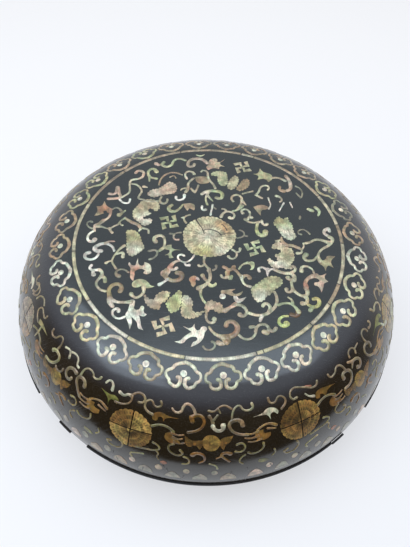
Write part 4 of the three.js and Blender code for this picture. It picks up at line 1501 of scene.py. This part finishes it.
# What lies beside the flowers and under the vine, drawn for the front part of the band.
SIDE_LOW = read_rows("""
moss 2.5/3 -12.7,56.2 -10.5,53.3 -8.1,54.5 -6.9,57.4
gold - -9,61 -8.5,66 -6,68 -5,66 -6,63 -7,60.5 -6.5,57.5 -8,58
gold 2.4/1.2 -7.4,58.4 -5.8,59.6 -4.2,58.6
gold 2.4/1.2 -7,62 -5.6,63.4 -4.5,62.3
gold 2.4/1.2 -6.6,66 -5.2,67.4 -3.8,66.2
ochre 3/2 20,57 18.1,53.9 16.1,55 14.8,57.6
ochre - 14.1,58.6 14.3,63 15.1,66.8 18.1,65.6 18.3,62 16.5,61 16.4,58
ochre 2.4/1.2 15,58.6 13.2,59.8 11.7,58.6
ochre 2.4/1.2 15,62.6 13.2,63.8 11.5,62.7
ochre 2.4/1.2 15.6,66 14,67.6 12.3,66.8
ochre 2/1 17.6,58 19.8,59.8
moss 2.2 -11.8,71.5 -10.6,73 -10,76 -11,79 -13.5,80.5 -16,81.5
moss 2/1.4 -11,79 -10.2,82 -10.5,86 -10,89.5
moss 2/2.5/2.5 -6.5,68.5 -7.7,71 -7.6,75.5 -6.5,79 -5,80 -4.2,77 -4.8,74
gold 4.5/4.5/3.5/2.5/1.6 -1.7,78 -1,76 0.7,77 1.3,80 1.2,84 0,87
moss 2.2 -3.8,81 -2.8,82.5 -2.4,86 -2.8,89 -4,90
gold 4/4/3/2 7.7,77 6.9,75.7 5.6,77 5.8,80 6.6,83 7.5,86
gold 2/1 5.6,79 4.2,81.5
moss 2.2 9.3,68 10.5,67 11.4,70 11,74.5 10,76 9,75
moss 2.2 16.2,71 16.2,75 15,79 13,80 12.2,78
moss 2 11.4,80 10.4,83 10,87 10.8,91
moss 1.8 19,81 19.2,85 18.4,88.5
moss 2.2 25.3,82 25.7,86 24.8,91 23.5,92.5 22,91 21.6,88 22.6,86.6
olive 2 -14,87.5 -16,89.5 -17.4,92.5 -17,96
olive 1.8 2.6,88 4.2,91 4.6,95
orange - -8.6,90.2 -7.8,92 -8.3,94.2 -9.4,93.6 -9.6,91.4
leaf - 15,89 16.8,90.2 17.6,92.6 16.2,94 14.8,92
""")
# The middle of that part, in degrees.
LOW_AT = 4.4

# A bat in mm across and down from its middle, and where it lies under the vine's front part.
BAT_AT, BAT_DOWN = 2.9, 65
BAT = read_rows("""
straw - -5.7,-5 0.3,-7.5 6.3,-3 6.3,3 0.3,8 -5.7,4
ochre - -20.8,-6 -14.8,-2 -6.4,-3 -6.6,2 -8.8,7 -12,3 -17.8,4
ochre - 7,-3 17,-6 14,0 11.6,2 9.3,7 7,3
""")


def moved(rows, start, end, shift, stretch=1.0):
    """Copies rows that lie between two azimuths, moved and stretched about the part's middle."""
    copies = []
    for tint, widths, *points in rows:
        middle = sum(degrees for degrees, _ in points) / len(points)
        if start <= middle < end:
            spots = [(LOW_AT + (degrees - LOW_AT) * stretch + shift, down) for degrees, down in points]
            copies.append((tint, widths, *spots))
    return copies


def bat_rows(at):
    """A bat's plates at a place round the lid."""
    scale = math.degrees(MM / side.radius_at(BAT_DOWN * MM))
    return [
        (tint, widths, *[(at + x * scale, BAT_DOWN + down) for x, down in points])
        for tint, widths, *points in BAT
    ]


vine, low, bats = list(SIDE_VINE), [], []
for flower_at, next_at in zip(SIDE_FLOWERS, (*SIDE_FLOWERS[1:], SIDE_FLOWERS[0] + 360)):
    shift = (flower_at + next_at) / 2 - LOW_AT
    stretch = (next_at - flower_at) / (SIDE_FLOWERS[2] - SIDE_FLOWERS[1])
    if flower_at >= SIDE_FLOWERS[3]:
        vine += moved(SIDE_VINE, SIDE_FLOWERS[1], SIDE_FLOWERS[2], shift, stretch)
    low += moved(SIDE_LOW, -90, 90, shift, stretch)
    bats += bat_rows(BAT_AT + shift)
side_drawings = (
    ("side_vine", vine, golden_nacre), ("side_sprays", low, golden_nacre), ("side_bats", bats, golden_plaques),
)
# Painted shade: the side's drawings are tinted darker and more golden than the top's.
for order, (name, rows, finish) in enumerate(side_drawings):
    rows = [(tint, widths and [w * SIDE_WIDTH for w in widths], *points) for tint, widths, *points in rows]
    lay_rows(name, side, rows, finish, "golden_shell", order * DRAWING_STEP_MM, SIDE_PAINTED_SHADE)


# --- The lower border: round drops, with arches between them

BORDER_COUNT, BORDER_FIRST = 52, -3.0
BORDER_DROP_TINTS, BORDER_ARCH_TINTS = ("tan", "pink", "dim", "dim"), ("pink", "tan", "dim", "dim")
ARCH = (
    (-6.6, 114), (-5.6, 109.5), (-2.8, 105.4), (0, 103.4), (2.8, 105.4), (5.6, 109.5), (6.6, 114), (0, 114.6),
)
DROP_RADII, DROP_DOWN, DROPS_LOST = (3, 4), 101, 0.06
DROP_GROWTH, DROP_WANDER, ARCH_WANDER = (0.85, 1.1), (-0.6, 0.8), (-0.5, 0.5)

border = []
for place in range(BORDER_COUNT):
    at = BORDER_FIRST + place * 360 / BORDER_COUNT
    if draw.random() > DROPS_LOST:
        grown, low = draw.uniform(*DROP_GROWTH), DROP_DOWN + draw.uniform(*DROP_WANDER)
        drop = [(DROP_RADII[0] * grown * x, low + DROP_RADII[1] * grown * y) for x, y in HEXAGON]
        border.append((draw.choice(BORDER_DROP_TINTS), None, *on_side(at, drop)))
    arch = [(x + draw.uniform(*ARCH_WANDER), down + draw.uniform(*ARCH_WANDER)) for x, down in ARCH]
    border.append((draw.choice(BORDER_ARCH_TINTS), None, *on_side(at + 180 / BORDER_COUNT, arch)))
lay_rows("lower_border", side, border, golden_nacre, "golden_shell")


# --- Floor, light and camera

# The room as it is seen, and the light it gives.
WHITE_ROOM = (0.95, 0.985, 1.0)
ROOM_LIGHT = (0.33, 0.34, 0.36)
COOL_WHITE = (0.89, 0.98, 1.12)
# The floor's own share of its white, in front and behind, and where those are.
FLOOR_OWN_WHITE, FLOOR_OWN_Y, FLOOR_SIZE = (0.48, 0.6), (-0.4, 0.9), 12
CARD_REACH, CARD_HEIGHT, CARD_BACK = (0.48, 0.305), 0.35, 0.12
# The card thins out from this height up, and from this place on towards the back.
CARD_FADE_Z, CARD_FADE_Y = 0.165, -0.19


FLOOR_LIT = ((0.88, 0.88, 0.88, 1), (0.9, 0.9, 0.9, 1))
FLOOR_SHOWN = ((0.42, 0.415, 0.41, 1), (0.43, 0.425, 0.42, 1))
FLOOR_GLOW, NO_GLOW = (0.985, 0.985, 1, 1), (0, 0, 0, 1)
CARD_TONES = ((0.004, 0.003, 0.002, 1), (0.01, 0.008, 0.006, 1))


def seen_rays(tree):
    """1 where the camera, a reflection or glass looks, and 0 for the light on the object."""
    paths = add(tree, "LightPath").outputs
    mirrored = maths(tree, "MAXIMUM", paths["Is Glossy Ray"], paths["Is Transmission Ray"])
    return maths(tree, "MAXIMUM", paths["Is Camera Ray"], mirrored)


def floor_material():
    """A white table, half of whose white is its own, so that its shadows stay faint."""
    material, shader = new_material("studio_floor", 0.9)
    tree = material.node_tree
    grain = add(tree, "TexNoise", {"Scale": 6, "Detail": 2}).outputs["Fac"]
    seen = seen_rays(tree)
    lit, shown = mix_colour(tree, grain, *FLOOR_LIT), mix_colour(tree, grain, *FLOOR_SHOWN)
    tree.links.new(mix_colour(tree, seen, lit, shown), shader.inputs["Base Color"])
    away = add(tree, "SeparateXYZ", {0: add(tree, "TexCoord").outputs["Object"]}).outputs[1]
    own = steps_between(tree, away, *FLOOR_OWN_Y, *FLOOR_OWN_WHITE)
    glow = mix_colour(tree, product(tree, seen, own), NO_GLOW, FLOOR_GLOW)
    tree.links.new(glow, shader.inputs["Emission Color"])
    shader.inputs["Emission Strength"].default_value = 1.0
    return material


start_fresh()
bpy.ops.mesh.primitive_plane_add(size=FLOOR_SIZE, location=(0, 0, 0))
studio_floor = bpy.context.object
studio_floor.name = "studio_floor"
studio_floor.data.materials.append(floor_material())

world = bpy.data.worlds.new("studio_air")
bpy.context.scene.world = world
world.use_nodes = True
air = world.node_tree
background = air.nodes["Background"]
air_shown = mix_colour(air, seen_rays(air), (*ROOM_LIGHT, 1), (*WHITE_ROOM, 1))
air.links.new(air_shown, background.inputs["Color"])

# A low dark card stands round the front, where the white table ended and the photographer stood.
# Only the lacquer's reflections show it, and it thins out upwards and towards the back.
start_fresh()
bpy.ops.mesh.primitive_circle_add(vertices=128, radius=1)
card = bpy.context.object
card.scale = (*CARD_REACH, 1)
bpy.ops.object.transform_apply(scale=True)
edit_all(card)
bpy.ops.mesh.bisect(plane_co=(0, CARD_BACK, 0), plane_no=(0, 1, 0), clear_outer=True)
bpy.ops.mesh.select_all(action="SELECT")
bpy.ops.mesh.extrude_edges_move(TRANSFORM_OT_translate={"value": (0, 0, CARD_HEIGHT)})
bpy.ops.object.mode_set(mode="OBJECT")
rename(card, "dark_card")
card_finish, card_shader = new_material("dark_card", 0.9)
card_tree = card_finish.node_tree
where = add(card_tree, "TexCoord").outputs["Object"]
card_grain = add(card_tree, "TexNoise", {"Vector": where, "Scale": 5}).outputs["Fac"]
card_tone = mix_colour(card_tree, card_grain, *CARD_TONES)
card_tree.links.new(card_tone, card_shader.inputs["Base Color"])
_, spot_y, spot_z = add(card_tree, "SeparateXYZ", {0: where}).outputs
low = steps_between(card_tree, spot_z, CARD_FADE_Z, CARD_HEIGHT, 1.0, 0.0)
near = steps_between(card_tree, spot_y, CARD_FADE_Y, CARD_BACK, 1.0, 0.0)
card_tree.links.new(product(card_tree, low, near), card_shader.inputs["Alpha"])
card.data.materials.append(card_finish)
card.visible_camera = card.visible_diffuse = card.visible_shadow = False


def soft_lamp(name, place, size, radiance, colour):
    """A soft square lamp that looks straight down, as bright as a colour of that value."""
    start_fresh()
    bpy.ops.object.light_add(type="AREA", location=place)
    lamp = bpy.context.object
    lamp.name = lamp.data.name = name
    lamp.data.shape = "RECTANGLE"
    lamp.data.size, lamp.data.size_y = size
    lamp.data.energy = radiance * math.pi * size[0] * size[1]
    lamp.data.color = colour


PANEL_RADIANCE = 2.1
soft_lamp("ceiling_panel", (0, -0.075, 1.15), (2.4, 0.95), PANEL_RADIANCE, COOL_WHITE)
soft_lamp("left_panel", (-0.66, -0.46, 1.02), (0.8, 0.62), PANEL_RADIANCE, COOL_WHITE)

CAMERA_PLACE = Vector((0, -291.2, 498.0)) * MM
CAMERA_PITCH, CAMERA_YAW, CAMERA_ROLL = 0.9409, -0.0039, 0.0449
FOCAL_PIXELS, PHOTO_HEIGHT, SENSOR_MM = 492.53, 547, 36

ahead = Vector((0, math.cos(CAMERA_PITCH), -math.sin(CAMERA_PITCH)))
right = Vector((1, 0, 0))
up = right.cross(ahead)
yawed_ahead = ahead * math.cos(CAMERA_YAW) + right * math.sin(CAMERA_YAW)
yawed_right = right * math.cos(CAMERA_YAW) - ahead * math.sin(CAMERA_YAW)
rolled_right = yawed_right * math.cos(CAMERA_ROLL) + up * math.sin(CAMERA_ROLL)
rolled_up = up * math.cos(CAMERA_ROLL) - yawed_right * math.sin(CAMERA_ROLL)
turn = Matrix((rolled_right, rolled_up, -yawed_ahead)).transposed().to_4x4()
camera_data = bpy.data.cameras.new("photo_camera")
camera = bpy.data.objects.new("photo_camera", camera_data)
bpy.context.scene.collection.objects.link(camera)
camera.matrix_world = Matrix.Translation(CAMERA_PLACE) @ turn
camera_data.sensor_width = SENSOR_MM
camera_data.lens = SENSOR_MM * FOCAL_PIXELS / PHOTO_HEIGHT
camera_data.clip_start = 0.01
# Half a pixel each way, which is the offset of the pixels' centres.
camera_data.shift_x, camera_data.shift_y = -0.5 / PHOTO_HEIGHT, 0.5 / PHOTO_HEIGHT
bpy.context.scene.camera = camera

bpy.context.scene.view_settings.view_transform = "Standard"
